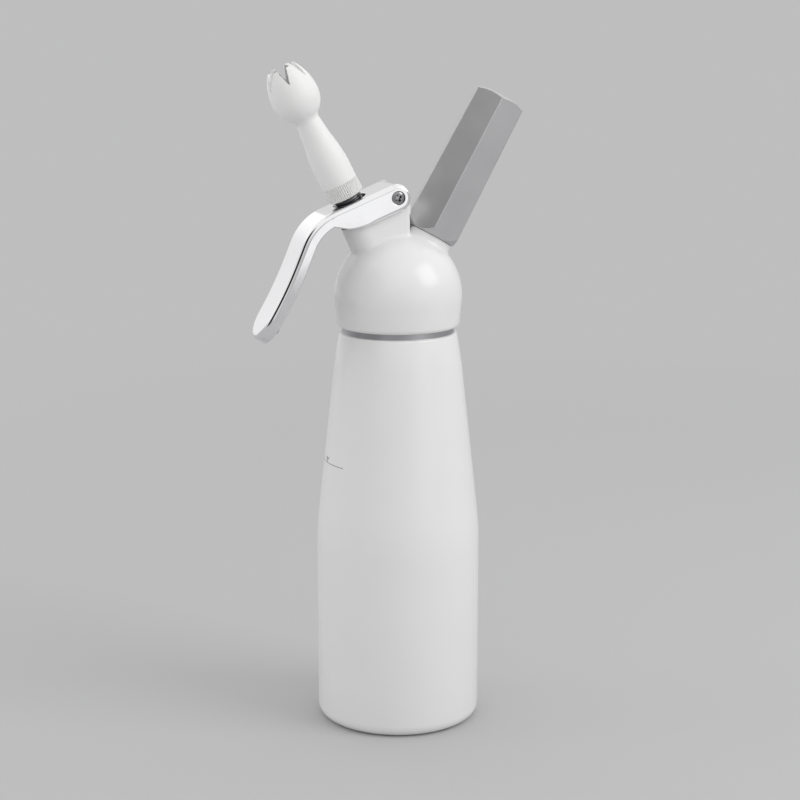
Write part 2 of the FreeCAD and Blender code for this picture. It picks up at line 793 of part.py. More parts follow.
def make_nozzle():
    """The tulip nozzle: collar, tapering body, waist and a cup that ends in six teeth."""
    body = new_body("nozzle", "valve")
    socket = "(%s + 0.35)" % THREAD_CREST
    lower_centre_r = "(tulip_radius - tulip_lower_round)"
    upper_centre_r = "(tulip_radius - tulip_upper_round)"
    tulip_rise = "(nozzle_length - tulip_depth)"
    waist_rise = "(nozzle_length - nozzle_waist_depth)"
    mid_rise = "(nozzle_length - nozzle_mid_depth)"
    cup_foot = "(%s + nozzle_waist_round)" % waist_rise
    foot_depth = "(nozzle_waist_depth - nozzle_waist_round - tulip_depth)"
    cup_foot_r = "(%s + sqrt(tulip_lower_round^2 - %s^2))" % (lower_centre_r, foot_depth)
    tip_r = "(%s + sqrt(tulip_upper_round^2 - tulip_depth^2))" % upper_centre_r
    inner_lower = "(tulip_lower_round - nozzle_wall)"
    inner_upper = "(tulip_upper_round - nozzle_wall)"
    inner_foot_r = "(%s + sqrt(%s^2 - %s^2))" % (lower_centre_r, inner_lower, foot_depth)
    inner_tip_r = "(%s + sqrt(%s^2 - tulip_depth^2))" % (upper_centre_r, inner_upper)
    spin(body, [
        (socket, "nozzle_rise"),
        ("nozzle_radius", "nozzle_rise"),
        ("nozzle_radius", nozzle_up("nozzle_collar")),
        ("nozzle_mid_radius", nozzle_up(mid_rise)),
        ("nozzle_waist_radius", nozzle_up(waist_rise)),
        (cup_foot_r, nozzle_up(cup_foot)),
        ("tulip_radius", nozzle_up(tulip_rise)),
        (tip_r, nozzle_up("nozzle_length")),
        (inner_tip_r, nozzle_up("nozzle_length")),
        ("tulip_radius - nozzle_wall", nozzle_up(tulip_rise)),
        (inner_foot_r, nozzle_up(cup_foot)),
        ("nozzle_waist_radius - nozzle_wall", nozzle_up(waist_rise)),
        ("nozzle_mid_radius - nozzle_wall", nozzle_up(mid_rise)),
        ("nozzle_mid_radius - nozzle_wall", NOZZLE_SEAT),
        (socket, NOZZLE_SEAT),
    ], {
        2: "2.6*%s" % mid_rise,
        4: "-1.4*nozzle_waist_round",
        5: "tulip_lower_round",
        6: "tulip_upper_round",
        8: "-%s" % inner_upper,
        9: "-%s" % inner_lower,
        10: "1.4*nozzle_waist_round + nozzle_wall",
    })
    half = "(tooth_notch_width/2)"
    top = nozzle_up("nozzle_length")
    for step in range(3):
        plane = turned_plane(body, "tooth_turn + %d" % (90 + 60 * step))
        cut = new_sketch(body, plane)
        draw(cut, [
            ("0", "%s - tooth_notch_depth" % top),
            (half, top),
            (half, "%s + 2" % top),
            ("-%s" % half, "%s + 2" % top),
            ("-%s" % half, top),
        ])
        slab(body, cut, "4*tulip_radius", "Pocket")
    return body


# ---------------------------------------------------------------- lever

BEND_X = "(lever_plate_length + lever_bend*sin(lever_bend_angle))"
BEND_Z = "(lever_top - lever_bend*(1 - cos(lever_bend_angle)))"
GRIP_X = "(%s + grip_straight*cos(lever_bend_angle))" % BEND_X
GRIP_Z = "(%s - grip_straight*sin(lever_bend_angle))" % BEND_Z
TIP_ANGLE = "(lever_bend_angle - grip_curve_angle)"
TIP_X = "(%s + grip_curve*(sin(lever_bend_angle) - sin(%s)))" % (GRIP_X, TIP_ANGLE)
TIP_Z = "(%s - grip_curve*(cos(%s) - cos(lever_bend_angle)))" % (GRIP_Z, TIP_ANGLE)
HALF_LEVER = "(lever_width/2)"
HALF_GAP = "(lever_width/2 - lever_sheet)"


def make_channel(body):
    """The pressed channel: a U of sheet swept along plate, bend and grip, closed by a half-round end."""
    wall_low = "(lever_top - lever_wall_depth)"
    under = "(lever_top - lever_sheet)"
    section = new_sketch(body, "YZ_Plane")
    draw(section, [
        ("-%s" % HALF_LEVER, "lever_top - lever_edge_round"),
        ("-%s" % HALF_LEVER, wall_low),
        ("-%s" % HALF_GAP, wall_low),
        ("-%s" % HALF_GAP, "%s - lever_inner_round" % under),
        ("lever_inner_round - %s" % HALF_GAP, under),
        ("%s - lever_inner_round" % HALF_GAP, under),
        (HALF_GAP, "%s - lever_inner_round" % under),
        (HALF_GAP, wall_low),
        (HALF_LEVER, wall_low),
        (HALF_LEVER, "lever_top - lever_edge_round"),
        ("%s - lever_edge_round" % HALF_LEVER, "lever_top"),
        ("lever_edge_round - %s" % HALF_LEVER, "lever_top"),
    ], {3: "-lever_inner_round", 5: "-lever_inner_round", 9: "lever_edge_round", 11: "lever_edge_round"})
    path = new_sketch(body, "XZ_Plane")
    draw(path, [
        ("0", "lever_top"),
        ("-lever_plate_length", "lever_top"),
        ("-%s" % BEND_X, BEND_Z),
        ("-%s" % GRIP_X, GRIP_Z),
        ("-%s" % TIP_X, TIP_Z),
    ], {1: "lever_bend", 3: "-grip_curve"}, closed=False)
    channel = body.newObject("PartDesign::AdditivePipe", "Channel")
    channel.Profile = (section, [""])
    channel.Spine = (path, ["Edge1", "Edge2", "Edge3", "Edge4"])
    end = new_sketch(body, "XZ_Plane", ("-%s" % TIP_X, TIP_Z, "0"), "180 + %s" % TIP_ANGLE)
    draw(end, [
        ("0", "0"),
        ("0", "lever_sheet"),
        ("%s - lever_inner_round" % HALF_GAP, "lever_sheet"),
        (HALF_GAP, "lever_sheet + lever_inner_round"),
        (HALF_GAP, "lever_wall_depth"),
        (HALF_LEVER, "lever_wall_depth"),
        (HALF_LEVER, "lever_edge_round"),
        ("%s - lever_edge_round" % HALF_LEVER, "0"),
    ], {2: "lever_inner_round", 6: "-lever_edge_round"})
    cap = body.newObject("PartDesign::Revolution", "GripEnd")
    cap.Profile = (end, [""])
    cap.ReferenceAxis = (end, ["V_Axis"])
    cap.Midplane = True
    cap.Angle = 180


def make_ears(body):
    """The two ears: flat cheeks that hang from the channel's walls and turn on the screws."""
    shoulder = "(lever_top - lever_edge_round)"
    curve_x = "(ear_straight + ear_curve_length)"
    curve_z = "(ear_curve - sqrt(ear_curve^2 - ear_curve_length^2) - lever_top)"
    wall_low = "(lever_top - lever_wall_depth)"
    outline = [
        ("0", "lever_top"),
        ("0", shoulder),
        ("-lever_plate_length - 3", shoulder),
        ("-lever_plate_length - 3", "%s + 0.3" % wall_low),
        ("-%s" % curve_x, curve_z),
        ("-ear_straight", "-lever_top"),
        ("0", "-lever_top"),
        ("lever_top", "0"),
    ]
    arcs = {4: "ear_curve", 6: "lever_top", 7: "lever_top"}
    cheeks = new_sketch(body, "XZ_Plane")
    draw(cheeks, outline, arcs)
    slab(body, cheeks, "lever_width")
    between = new_sketch(body, "XZ_Plane")
    reach = "(lever_top + 2)"
    draw(between, [
        (reach, reach),
        ("-lever_plate_length - 8", reach),
        ("-lever_plate_length - 8", "-%s" % reach),
        (reach, "-%s" % reach),
    ])
    slab(body, between, "2*%s" % HALF_GAP, "Pocket")


def make_lever():
    body = new_body("lever", "lever")
    make_ears(body)
    make_channel(body)
    roll = new_sketch(body, "YZ_Plane")
    half_roll = "(%s - lever_slot)" % HALF_GAP
    draw(roll, [
        ("-%s" % half_roll, "lever_top - lever_sheet"),
        (half_roll, "lever_top - lever_sheet"),
        (half_roll, "lever_top"),
        ("-%s" % half_roll, "lever_top"),
    ])
    lip = body.newObject("PartDesign::Revolution", "Roll")
    lip.Profile = (roll, [""])
    lip.ReferenceAxis = (roll, ["H_Axis"])
    lip.Angle = value("lever_roll_angle")
    bind(lip, "Angle", "lever_roll_angle")
    pads = new_sketch(body, "XZ_Plane")
    lean = "(valve_tilt - lever_slope)"
    pad_rise = "(%s + press_pad_clearance + press_pad_radius - pivot_rise)" % FLANGE_TOP
    pad_z = "((%s - pivot_offset*sin%s)/cos%s)" % (pad_rise, lean, lean)
    draw(pads, [
        ("press_pad_radius - pivot_offset", "lever_top - lever_sheet"),
        ("-press_pad_radius - pivot_offset", "lever_top - lever_sheet"),
        ("-press_pad_radius - pivot_offset", pad_z),
        ("-pivot_offset", "%s - press_pad_radius" % pad_z),
        ("press_pad_radius - pivot_offset", pad_z),
    ], {2: "press_pad_radius", 3: "press_pad_radius"})
    slab(body, pads, "2*%s + lever_sheet" % HALF_GAP)
    pad_gap = new_sketch(body, "XZ_Plane")
    draw(pad_gap, [
        ("2*press_pad_radius - pivot_offset", "lever_top + 1"),
        ("-2*press_pad_radius - pivot_offset", "lever_top + 1"),
        ("-2*press_pad_radius - pivot_offset", "-lever_top"),
        ("2*press_pad_radius - pivot_offset", "-lever_top"),
    ])
    slab(body, pad_gap, "2*(%s + press_pad_side_gap)" % THREAD_CREST, "Pocket")
    hole = new_sketch(body, "XY_Plane", ("0", "0", "lever_top + lever_sheet/2"))
    half_lean = "(lever_top*tan(valve_tilt - lever_slope)/2)"
    draw_circle(hole, ("-%s - pivot_offset" % half_lean, "0"), "%s + lever_hole_clearance" % THREAD_CREST)
    opening = body.newObject("PartDesign::Pocket", "Hole")
    opening.Profile = (hole, [""])
    bind(opening, "Length", "1.5*lever_sheet + lever_inner_round/2")
    pins = new_sketch(body, "XZ_Plane")
    draw_circle(pins, ("0", "0"), "screw_head_radius + running_clearance")
    slab(body, pins, "2*lever_width", "Pocket")
    return body


def make_pivot_screw(label, side):
    """A cross-recess screw: its round head is the lever's journal, its shank sits in the lug."""
    body = doc.addObject("PartDesign::Body", label)
    body.Label = label
    outward = FreeCAD.Rotation(FreeCAD.Vector(1, 0, 0), -90 * side)
    seat = FreeCAD.Vector(value(PIVOT_X), side * value(LUG_HALF), value(PIVOT_Z))
    body.Placement = FreeCAD.Placement(seat, outward)
    bind(body, "Placement.Base.x", PIVOT_X)
    bind(body, "Placement.Base.y", "%d*%s" % (side, LUG_HALF))
    bind(body, "Placement.Base.z", PIVOT_Z)
    bevel = "0.3"
    spin(body, [
        ("0", "-screw_length"),
        ("screw_radius - %s" % bevel, "-screw_length"),
        ("screw_radius", "%s - screw_length" % bevel),
        ("screw_radius", "0"),
        ("screw_head_radius", "0"),
        ("screw_head_radius", "screw_head_thickness - %s" % bevel),
        ("screw_head_radius - %s" % bevel, "screw_head_thickness"),
        ("0", "screw_head_thickness"),
    ])
    cross = new_sketch(body, "XY_Plane", ("0", "0", "screw_head_thickness"))
    a = "(cross_width/2)"
    b = "(cross_length/2)"
    quarter = [(b, a), (a, a), (a, b)]
    corners = []
    for turn in range(4):
        corners += quarter
        quarter = [("-(%s)" % y, x) for x, y in quarter]
    draw(cross, corners)
    recess = body.newObject("PartDesign::Pocket", "Cross")
    recess.Profile = (cross, [""])
    bind(recess, "Length", "cross_depth")
    return body


# ---------------------------------------------------------------- charger side

PORT_TOP = "(boss_rise + port_length)"
NECK_FIT = "(charger_neck + 0.5)"
PIN_LOW = "(port_gasket_floor - pin_shank_length)"
CHARGER_LOW = "(port_gasket_floor + port_gasket_thickness)"
CHARGER_TOP = "(%s + charger_length)" % CHARGER_LOW
HOLDER_LOW = "(boss_rise + holder_gap)"
HOLDER_TOP = "(%s + holder_length)" % HOLDER_LOW


def make_charger_port():
    """The stud that the holder screws on, with the seat of the charger's neck inside."""
    body = new_body("charger_port", "port")
    lead = "(port_radius - %s)/2" % NECK_FIT
    spin(body, [
        ("gas_passage", "filter_rise"),
        ("filter_radius", "filter_rise"),
        ("filter_radius", "port_floor"),
        ("port_shank_radius", "port_floor"),
        ("port_shank_radius", "boss_rise"),
        ("port_radius", "boss_rise"),
        ("port_radius", "%s - port_thread_depth" % PORT_TOP),
        ("port_radius - port_thread_depth", PORT_TOP),
        ("%s + %s" % (NECK_FIT, lead), PORT_TOP),
        (NECK_FIT, "%s - %s" % (PORT_TOP, lead)),
        (NECK_FIT, "port_gasket_floor"),
        ("pin_shank_radius", "port_gasket_floor"),
        ("pin_shank_radius", PIN_LOW),
        ("gas_passage", PIN_LOW),
    ])
    thread(body, "port_radius", "port_thread_depth", "port_thread_pitch", "boss_rise + 0.8",
           "%s - 0.8" % PORT_TOP)
    return body


def make_port_gasket():
    return turned("port_gasket", "port", ring_corners(
        "pin_shank_radius + 0.2", "%s - 0.1" % NECK_FIT, "port_gasket_floor", CHARGER_LOW))


def make_piercing_pin():
    """A hollow pin with a pointed end, held by its thicker shank."""
    fit = "(pin_shank_radius - 0.05)"
    point = "(%s + pin_point)" % CHARGER_LOW
    return turned("piercing_pin", "port", [
        ("pin_bore", PIN_LOW),
        (fit, PIN_LOW),
        (fit, "port_gasket_floor"),
        ("pin_radius", "port_gasket_floor"),
        ("pin_radius", "%s - pin_radius" % point),
        ("pin_bore", point),
    ])


def make_pin_filter():
    return turned("pin_filter", "port", [
        ("0", "filter_rise - filter_thickness"),
        ("filter_radius - 0.05", "filter_rise - filter_thickness"),
        ("filter_radius - 0.05", "filter_rise"),
        ("0", "filter_rise"),
    ])


def make_check_valve():
    """A rubber non-return valve: a plug in the stud's pocket, a flange on its end face and a slit lip."""
    top = "(filter_rise - filter_thickness)"
    low = "(port_floor - check_valve_thickness)"
    return turned("check_valve", "port", [
        ("gas_passage", top),
        ("gas_passage", "%s + 0.5*gas_passage" % low),
        ("0.2*gas_passage", "%s - check_valve_thickness" % low),
        ("gas_passage", "%s - check_valve_thickness" % low),
        ("2*gas_passage", low),
        ("check_valve_radius", low),
        ("check_valve_radius", "port_floor"),
        ("filter_radius - 0.05", "port_floor"),
        ("filter_radius - 0.05", top),
    ])


def make_gas_charger():
    """The steel cartridge, its neck down on the port's gasket."""
    inner = "(charger_radius - charger_wall)"
    shoulder_low = "(%s + charger_neck_length)" % CHARGER_LOW
    shoulder_top = "(%s + charger_shoulder)" % shoulder_low
    dome = "(%s - charger_radius)" % CHARGER_TOP
    return turned("gas_charger", "port", [
        ("charger_mouth", CHARGER_LOW),
        ("charger_neck", CHARGER_LOW),
        ("charger_neck", shoulder_low),
        ("charger_radius", shoulder_top),
        ("charger_radius", dome),
        ("0", CHARGER_TOP),
        ("0", "%s - charger_wall" % CHARGER_TOP),
        (inner, dome),
        (inner, shoulder_top),
        ("charger_mouth", "%s + charger_wall" % shoulder_low),
    ], {2: "1.4*charger_shoulder", 4: "charger_radius", 6: "-%s" % inner})


def make_charger_cap():
    """The pierced closing disc in the mouth of the charger."""
    return turned("charger_cap", "port", ring_corners(
        "cap_hole", "charger_mouth", CHARGER_LOW, "%s + cap_thickness" % CHARGER_LOW))


def make_charger_holder():
    """A tapering hexagon with bevelled ends, bored for the port's thread and for the charger."""
    body = new_body("charger_holder", "port")
    hexagon = new_sketch(body, "XY_Plane", ("0", "0", HOLDER_LOW), "holder_turn")
    corner = "(holder_flats/sqrt(3))"
    corners = [("%s*cos(%d)" % (corner, turn), "%s*sin(%d)" % (corner, turn)) for turn in range(0, 360, 60)]
    draw(hexagon, corners)
    prism = body.newObject("PartDesign::Pad", "Prism")
    prism.Profile = (hexagon, [""])
    bind(prism, "Length", "holder_length")
    bind(prism, "TaperAngle", "-holder_draft")
    doc.recompute()
    long_edges = []
    for number, edge in enumerate(prism.Shape.Edges, start=1):
        if edge.Length > 0.9 * value("holder_length"):
            long_edges.append("Edge%d" % number)
    round_edges(body, prism, long_edges, "holder_edge_round")
    bevel_r = "(holder_flats/2 - 0.3)"
    spin(body, [
        (bevel_r, "%s - 1" % HOLDER_LOW),
        (bevel_r, HOLDER_LOW),
        ("%s + holder_lower_chamfer*0.62" % bevel_r, "%s + holder_lower_chamfer" % HOLDER_LOW),
        ("holder_flats", "%s + 2.5*holder_lower_chamfer" % HOLDER_LOW),
        ("holder_flats", "%s - 1" % HOLDER_LOW),
    ], kind="Groove")
    top_r = "(holder_flats/2 - holder_length*tan(holder_draft))"
    spin(body, [
        ("0", "%s + 1" % HOLDER_TOP),
        ("0", HOLDER_TOP),
        ("%s - holder_top_chamfer" % top_r, "%s - holder_top_chamfer/2" % HOLDER_TOP),
        ("%s + holder_top_chamfer" % top_r, "%s - 1.6*holder_top_chamfer" % HOLDER_TOP),
        ("holder_flats", "%s - 2*holder_top_chamfer" % HOLDER_TOP),
        ("holder_flats", "%s + 1" % HOLDER_TOP),
    ], kind="Groove")
    bore = "(charger_radius + holder_bore_clearance)"
    thread_bore = "(port_radius + port_thread_depth + thread_clearance)"
    step = "(%s + 1.6)" % PORT_TOP
    dome = "(%s - charger_radius)" % CHARGER_TOP
    spin(body, [
        ("0", "%s - 1" % HOLDER_LOW),
        (thread_bore, "%s - 1" % HOLDER_LOW),
        (thread_bore, step),
        (bore, "%s + %s - %s" % (step, thread_bore, bore)),
        (bore, dome),
        ("0", "%s + %s" % (dome, bore)),
    ], {4: bore}, kind="Groove")
    return body


# ---------------------------------------------------------------- build, check and write

nodes = [
    make_flask(), make_head(), make_head_gasket(),
    make_valve_stem(), make_valve_seal(), make_stem_seal(), make_valve_guide(), make_valve_spring(),
    make_nozzle_adapter(), make_adapter_gasket(), make_nozzle(),
    make_lever(), make_pivot_screw("pivot_screw_front", -1), make_pivot_screw("pivot_screw_back", 1),
    make_charger_port(), make_port_gasket(), make_piercing_pin(), make_pin_filter(), make_check_valve(),
    make_gas_charger(), make_charger_cap(), make_charger_holder(),
]
doc.recompute()
for item in doc.Objects:
    if "Invalid" in item.State or "Error" in item.State:
        raise RuntimeError("failed object: %s %s" % (item.Label, item.State))
for node in nodes:
    shape = node.Shape
    if shape.isNull() or not shape.isValid() or len(shape.Solids) != 1:
        raise RuntimeError("bad shape: %s, %d solids" % (node.Label, len(shape.Solids)))
os.makedirs("parts", exist_ok=True)
for node in nodes:
    node.Shape.exportStep("parts/%s.step" % node.Label)
    box = node.Shape.BoundBox
    print("%-18s volume %9.1f mm3   z %.1f to %.1f" % (node.Label, node.Shape.Volume, box.ZMin, box.ZMax))
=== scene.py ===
import bmesh
import bpy
import cmath
import json
import math
from mathutils import Matrix, Vector


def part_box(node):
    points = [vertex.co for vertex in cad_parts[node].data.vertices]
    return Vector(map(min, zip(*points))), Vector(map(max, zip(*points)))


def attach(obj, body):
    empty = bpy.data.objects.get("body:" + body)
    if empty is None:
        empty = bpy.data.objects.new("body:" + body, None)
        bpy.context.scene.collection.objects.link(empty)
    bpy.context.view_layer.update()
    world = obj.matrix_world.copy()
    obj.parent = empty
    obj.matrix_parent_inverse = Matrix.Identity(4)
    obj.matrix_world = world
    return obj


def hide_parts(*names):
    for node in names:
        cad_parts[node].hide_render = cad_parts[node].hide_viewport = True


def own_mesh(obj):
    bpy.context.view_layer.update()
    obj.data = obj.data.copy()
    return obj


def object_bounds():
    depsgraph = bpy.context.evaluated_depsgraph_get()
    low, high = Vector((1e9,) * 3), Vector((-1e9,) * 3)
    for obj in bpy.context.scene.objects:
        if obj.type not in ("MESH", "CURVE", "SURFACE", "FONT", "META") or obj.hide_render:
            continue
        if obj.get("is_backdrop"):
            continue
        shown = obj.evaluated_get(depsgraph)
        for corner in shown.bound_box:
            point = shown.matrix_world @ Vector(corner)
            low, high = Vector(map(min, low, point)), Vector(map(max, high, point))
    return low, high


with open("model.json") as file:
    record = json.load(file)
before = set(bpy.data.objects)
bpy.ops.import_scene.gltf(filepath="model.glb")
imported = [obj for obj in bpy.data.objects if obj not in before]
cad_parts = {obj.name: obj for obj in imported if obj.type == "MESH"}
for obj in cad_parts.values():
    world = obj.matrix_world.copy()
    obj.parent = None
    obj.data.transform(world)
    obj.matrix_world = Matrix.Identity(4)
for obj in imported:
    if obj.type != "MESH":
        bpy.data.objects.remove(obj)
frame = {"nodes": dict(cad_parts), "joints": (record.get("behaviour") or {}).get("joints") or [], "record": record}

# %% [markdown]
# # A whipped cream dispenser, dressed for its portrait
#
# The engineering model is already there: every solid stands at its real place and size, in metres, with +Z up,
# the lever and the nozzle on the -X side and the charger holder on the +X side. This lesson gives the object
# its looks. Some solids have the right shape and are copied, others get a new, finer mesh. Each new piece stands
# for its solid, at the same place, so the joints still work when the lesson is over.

MM = 0.001
cad_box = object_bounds()
print("engineering model: %d nodes, %.0f x %.0f x %.0f mm" % (
    len(frame["nodes"]), *[(high - low) / MM for low, high in zip(*cad_box)]))

# %% [markdown]
# ## The leaning axes
#
# Three axes matter. The flask stands on Z. The valve, with the nozzle on top of it, leans towards -X, and the
# charger's port leans towards +X. Turned pieces are easiest to make upright, about Z, and are then laid on their
# axis, so each axis is kept as a matrix. The centre of the nozzle's box and of the holder's box tell whether
# the angles agree with the solids.

# %% the axes
UPRIGHT = Matrix.Identity(4)
VALVE_LEAN = math.radians(27.6)
VALVE_FOOT = 203.3 * MM
PORT_LEAN = math.radians(29.2)
PORT_FOOT = 205.2 * MM
VALVE = Matrix.Translation((0, 0, VALVE_FOOT)) @ Matrix.Rotation(-VALVE_LEAN, 4, "Y")
PORT = Matrix.Translation((0, 0, PORT_FOOT)) @ Matrix.Rotation(PORT_LEAN, 4, "Y")


def off_axis(node, axis):
    """How far, in millimetres, the middle of a node's box lies from an axis."""
    low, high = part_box(node)
    local = axis.inverted() @ ((low + high) / 2)
    return math.hypot(local.x, local.y) / MM


print("off their axes: nozzle %.2f mm, holder %.2f mm" % (
    off_axis("nozzle", VALVE), off_axis("charger_holder", PORT)))

# %% [markdown]
# ## Outlines
#
# Half of this object came off a lathe or out of a round mould. Such a piece is an outline, half of its cross
# section, turned about an axis. An outline is given by its corners, each with the radius that rounds it, because
# no real corner is perfectly sharp and it is the small rounding that catches the light. A long curve between two
# corners is an arc of a known radius. Complex numbers make short work of both, since multiplying by one turns a
# point about the origin.

# %% rounded corners and long arcs
CORNER_STEPS = 5


def rounded(corners):
    """Points of an outline: its corners are (radius, height, rounding), and a rounding of 0 stays sharp."""
    points = []
    for index, (across, up, rounding) in enumerate(corners):
        corner = complex(across, up)
        if rounding == 0 or index in (0, len(corners) - 1):
            points.append((across, up))
            continue
        back = complex(*corners[index - 1][:2]) - corner
        ahead = complex(*corners[index + 1][:2]) - corner
        back, ahead = back / abs(back), ahead / abs(ahead)
        half = abs(cmath.phase(ahead / back)) / 2
        middle = back + ahead
        centre = corner + middle / abs(middle) * rounding / math.sin(half)
        start = corner + back * rounding / math.tan(half) - centre
        end = corner + ahead * rounding / math.tan(half) - centre
        turn = cmath.phase(end / start)
        for step in range(CORNER_STEPS + 1):
            point = centre + start * cmath.exp(1j * turn * step / CORNER_STEPS)
            points.append((point.real, point.imag))
    return points


def bowed(start, end, radius, steps):
    """The points between two corners on an arc that turns left, or right if the radius is negative."""
    first, last = complex(*start[:2]), complex(*end[:2])
    half = (last - first) / 2
    rise = math.sqrt(radius * radius - abs(half) ** 2)
    centre = first + half + 1j * half / abs(half) * math.copysign(rise, radius)
    turn = cmath.phase((last - centre) / (first - centre))
    points = [centre + (first - centre) * cmath.exp(1j * turn * step / steps) for step in range(1, steps)]
    return [(point.real, point.imag, 0) for point in points]


square = rounded([(0, 0, 0), (10, 0, 2), (10, 10, 0)])
print("a rounded corner runs from %s to %s" % (square[1], square[-2]))

# %% [markdown]
# ## Turning a piece
#
# The outline is drawn as by hand: a plane is merged to a single point, the point is extruded from corner to
# corner, and the line is spun once round the axis. Where the outline starts and ends on the axis the spin makes
# poles, and a merge by distance closes them and the seam. A spun shape can come out inside out, so its normals
# are recalculated after the merge. Everything is deselected first, because an operator acts on all that is
# selected.

# %% editing helpers and the lathe
MERGE = 0.001 * MM
SMOOTH_BELOW = math.radians(32)


def only(piece):
    """Selects a piece and nothing else, and makes it the active one."""
    bpy.ops.object.select_all(action="DESELECT")
    piece.select_set(True)
    bpy.context.view_layer.objects.active = piece


def edit(piece):
    """Opens a piece, and only that piece, in edit mode."""
    if bpy.context.mode != "OBJECT":
        bpy.ops.object.mode_set(mode="OBJECT")
    only(piece)
    bpy.ops.object.mode_set(mode="EDIT")


def pick(piece, kind, wanted):
    """Selects the VERTs, EDGEs or FACEs, in edit mode, that a test picks, and returns how many there are."""
    bpy.ops.mesh.select_mode(type=kind)
    bpy.ops.mesh.select_all(action="DESELECT")
    mesh = bmesh.from_edit_mesh(piece.data)
    items = {"VERT": mesh.verts, "EDGE": mesh.edges, "FACE": mesh.faces}[kind]
    chosen = [item for item in items if wanted(item)]
    for item in chosen:
        item.select_set(True)
    mesh.select_flush_mode()
    bmesh.update_edit_mesh(piece.data)
    return len(chosen)


def close_up(piece, recalculate=True):
    """Leaves edit mode with doubles merged and the shading smooth except over sharp corners."""
    bpy.ops.mesh.select_mode(type="VERT")
    bpy.ops.mesh.select_all(action="SELECT")
    bpy.ops.mesh.remove_doubles(threshold=MERGE)
    if recalculate:
        bpy.ops.mesh.normals_make_consistent(inside=False)
    bpy.ops.object.mode_set(mode="OBJECT")
    bpy.ops.object.shade_smooth_by_angle(angle=SMOOTH_BELOW)


def started(name, primitive, size):
    """A new piece that is only a primitive, open in edit mode with all of it selected."""
    bpy.ops.object.select_all(action="DESELECT")
    primitive(size=size)
    piece = bpy.context.object
    piece.name = name
    edit(piece)
    bpy.ops.mesh.select_all(action="SELECT")
    return piece


def turned(name, outline, segments):
    """Spins an outline of (radius, height) points, in millimetres, about Z."""
    piece = started(name, bpy.ops.mesh.primitive_plane_add, MM)
    bpy.ops.mesh.merge(type="CENTER")
    bpy.ops.mesh.select_mode(type="VERT")
    bpy.ops.mesh.select_all(action="SELECT")
    (across, up), *rest = outline
    bpy.ops.transform.translate(value=(across * MM, 0, up * MM))
    for next_across, next_up in rest:
        step = ((next_across - across) * MM, 0, (next_up - up) * MM)
        bpy.ops.mesh.extrude_vertices_move(TRANSFORM_OT_translate={"value": step})
        across, up = next_across, next_up
    bpy.ops.mesh.select_all(action="SELECT")
    bpy.ops.mesh.spin(steps=segments, angle=math.tau, center=(0, 0, 0), axis=(0, 0, 1))
    close_up(piece)
    return piece


def modify(piece, kind, **settings):
    """Adds a modifier with its settings and applies it."""
    only(piece)
    modifier = piece.modifiers.new(kind.title(), kind)
    for key, setting in settings.items():
        setattr(modifier, key, setting)
    bpy.ops.object.modifier_apply(modifier=modifier.name)


def lay(piece, axis):
    """Lays a piece made upright on its axis and applies that to the mesh, so its object stays at the origin."""
    only(piece)
    piece.matrix_world = axis @ piece.matrix_world
    bpy.ops.object.transform_apply(location=True, rotation=True, scale=True)
    return piece


def report(piece):
    size = [round(side / MM, 1) for side in piece.dimensions]
    print("%s: %d faces, %s mm" % (piece.name, len(piece.data.polygons), size))


# %% [markdown]
# ## Pieces that keep the solid's shape
#
# A sheet metal lever or a casting that is already right as a solid isn't modelled twice. Its mesh is copied. The
# solid's triangles are loose, each with corners of its own, so the copy is merged first; only then can the
# shading run smoothly over a rounding. The engineering node is hidden and the copy stands for it.

# %% copy a solid's mesh
def copy_of(node, name):
    """A merged, smooth-shaded copy of a node's mesh as a piece of its own."""
    mesh = frame["nodes"][node].data.copy()
    mesh.materials.clear()
    piece = bpy.data.objects.new(name, mesh)
    bpy.context.scene.collection.objects.link(piece)
    edit(piece)
    bpy.ops.mesh.customdata_custom_splitnormals_clear()
    close_up(piece, recalculate=False)
    return piece


def body_of(node):
    bodies = frame["record"]["behaviour"]["bodies"]
    return [name for name, members in bodies.items() if node in members][0]


def stands_for(piece, node, slot, *finishes):
    """Gives a piece its finishes, lets it ride with the node's body and hides the node."""
    for finish in finishes:
        piece.data.materials.append(finish)
    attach(piece, body_of(node))
    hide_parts(node)
    report(piece)
    return piece


# %% [markdown]
# ## Finishes as node trees
#
# Every finish is a small node tree. Colours are written as the familiar sRGB hex values and turned to the linear
# numbers that the renderer works with. Patterns are placed by Object coordinates, which here are real metres, so
# a pattern's scale follows from a real size: a noise with features of 1.5 mm has a scale of 1000 / 1.5.

# %% colours and nodes
def linear(code):
    """The linear colour, with alpha, of an sRGB hex value."""
    parts = [int(code[index:index + 2], 16) / 255 for index in (1, 3, 5)]
    bent = [part / 12.92 if part <= 0.04045 else ((part + 0.055) / 1.055) ** 2.4 for part in parts]
    return (*bent, 1)


def add(tree, kind, settings=None, links=None):
    """Adds a node, sets its properties and sockets, and links other nodes' outputs to its sockets."""
    node = tree.nodes.new(kind)
    for key, setting in (settings or {}).items():
        if isinstance(key, int) or key in node.inputs:
            node.inputs[key].default_value = setting
        else:
            setattr(node, key, setting)
    for key, source in (links or {}).items():
        output = source if isinstance(source, bpy.types.NodeSocket) else source.outputs[0]
        tree.links.new(output, node.inputs[key])
    return node


def per_metre(size_mm):
    """The scale at which a noise has features of this size."""
    return 1000 / size_mm


def lines_per_metre(spacing_mm):
    """The scale at which a wave texture's bands lie this far apart: a band takes 2 pi / 20 at scale 1."""
    return math.tau / 20 / (spacing_mm * MM)


def new_finish(name):
    """An empty finish: its material, its tree and the place on the surface, in metres."""
    finish = bpy.data.materials.new(name)
    finish.use_nodes = True
    finish.node_tree.nodes.clear()
    place = add(finish.node_tree, "ShaderNodeTexCoord").outputs["Object"]
    print("finish:", name)
    return finish, finish.node_tree, place


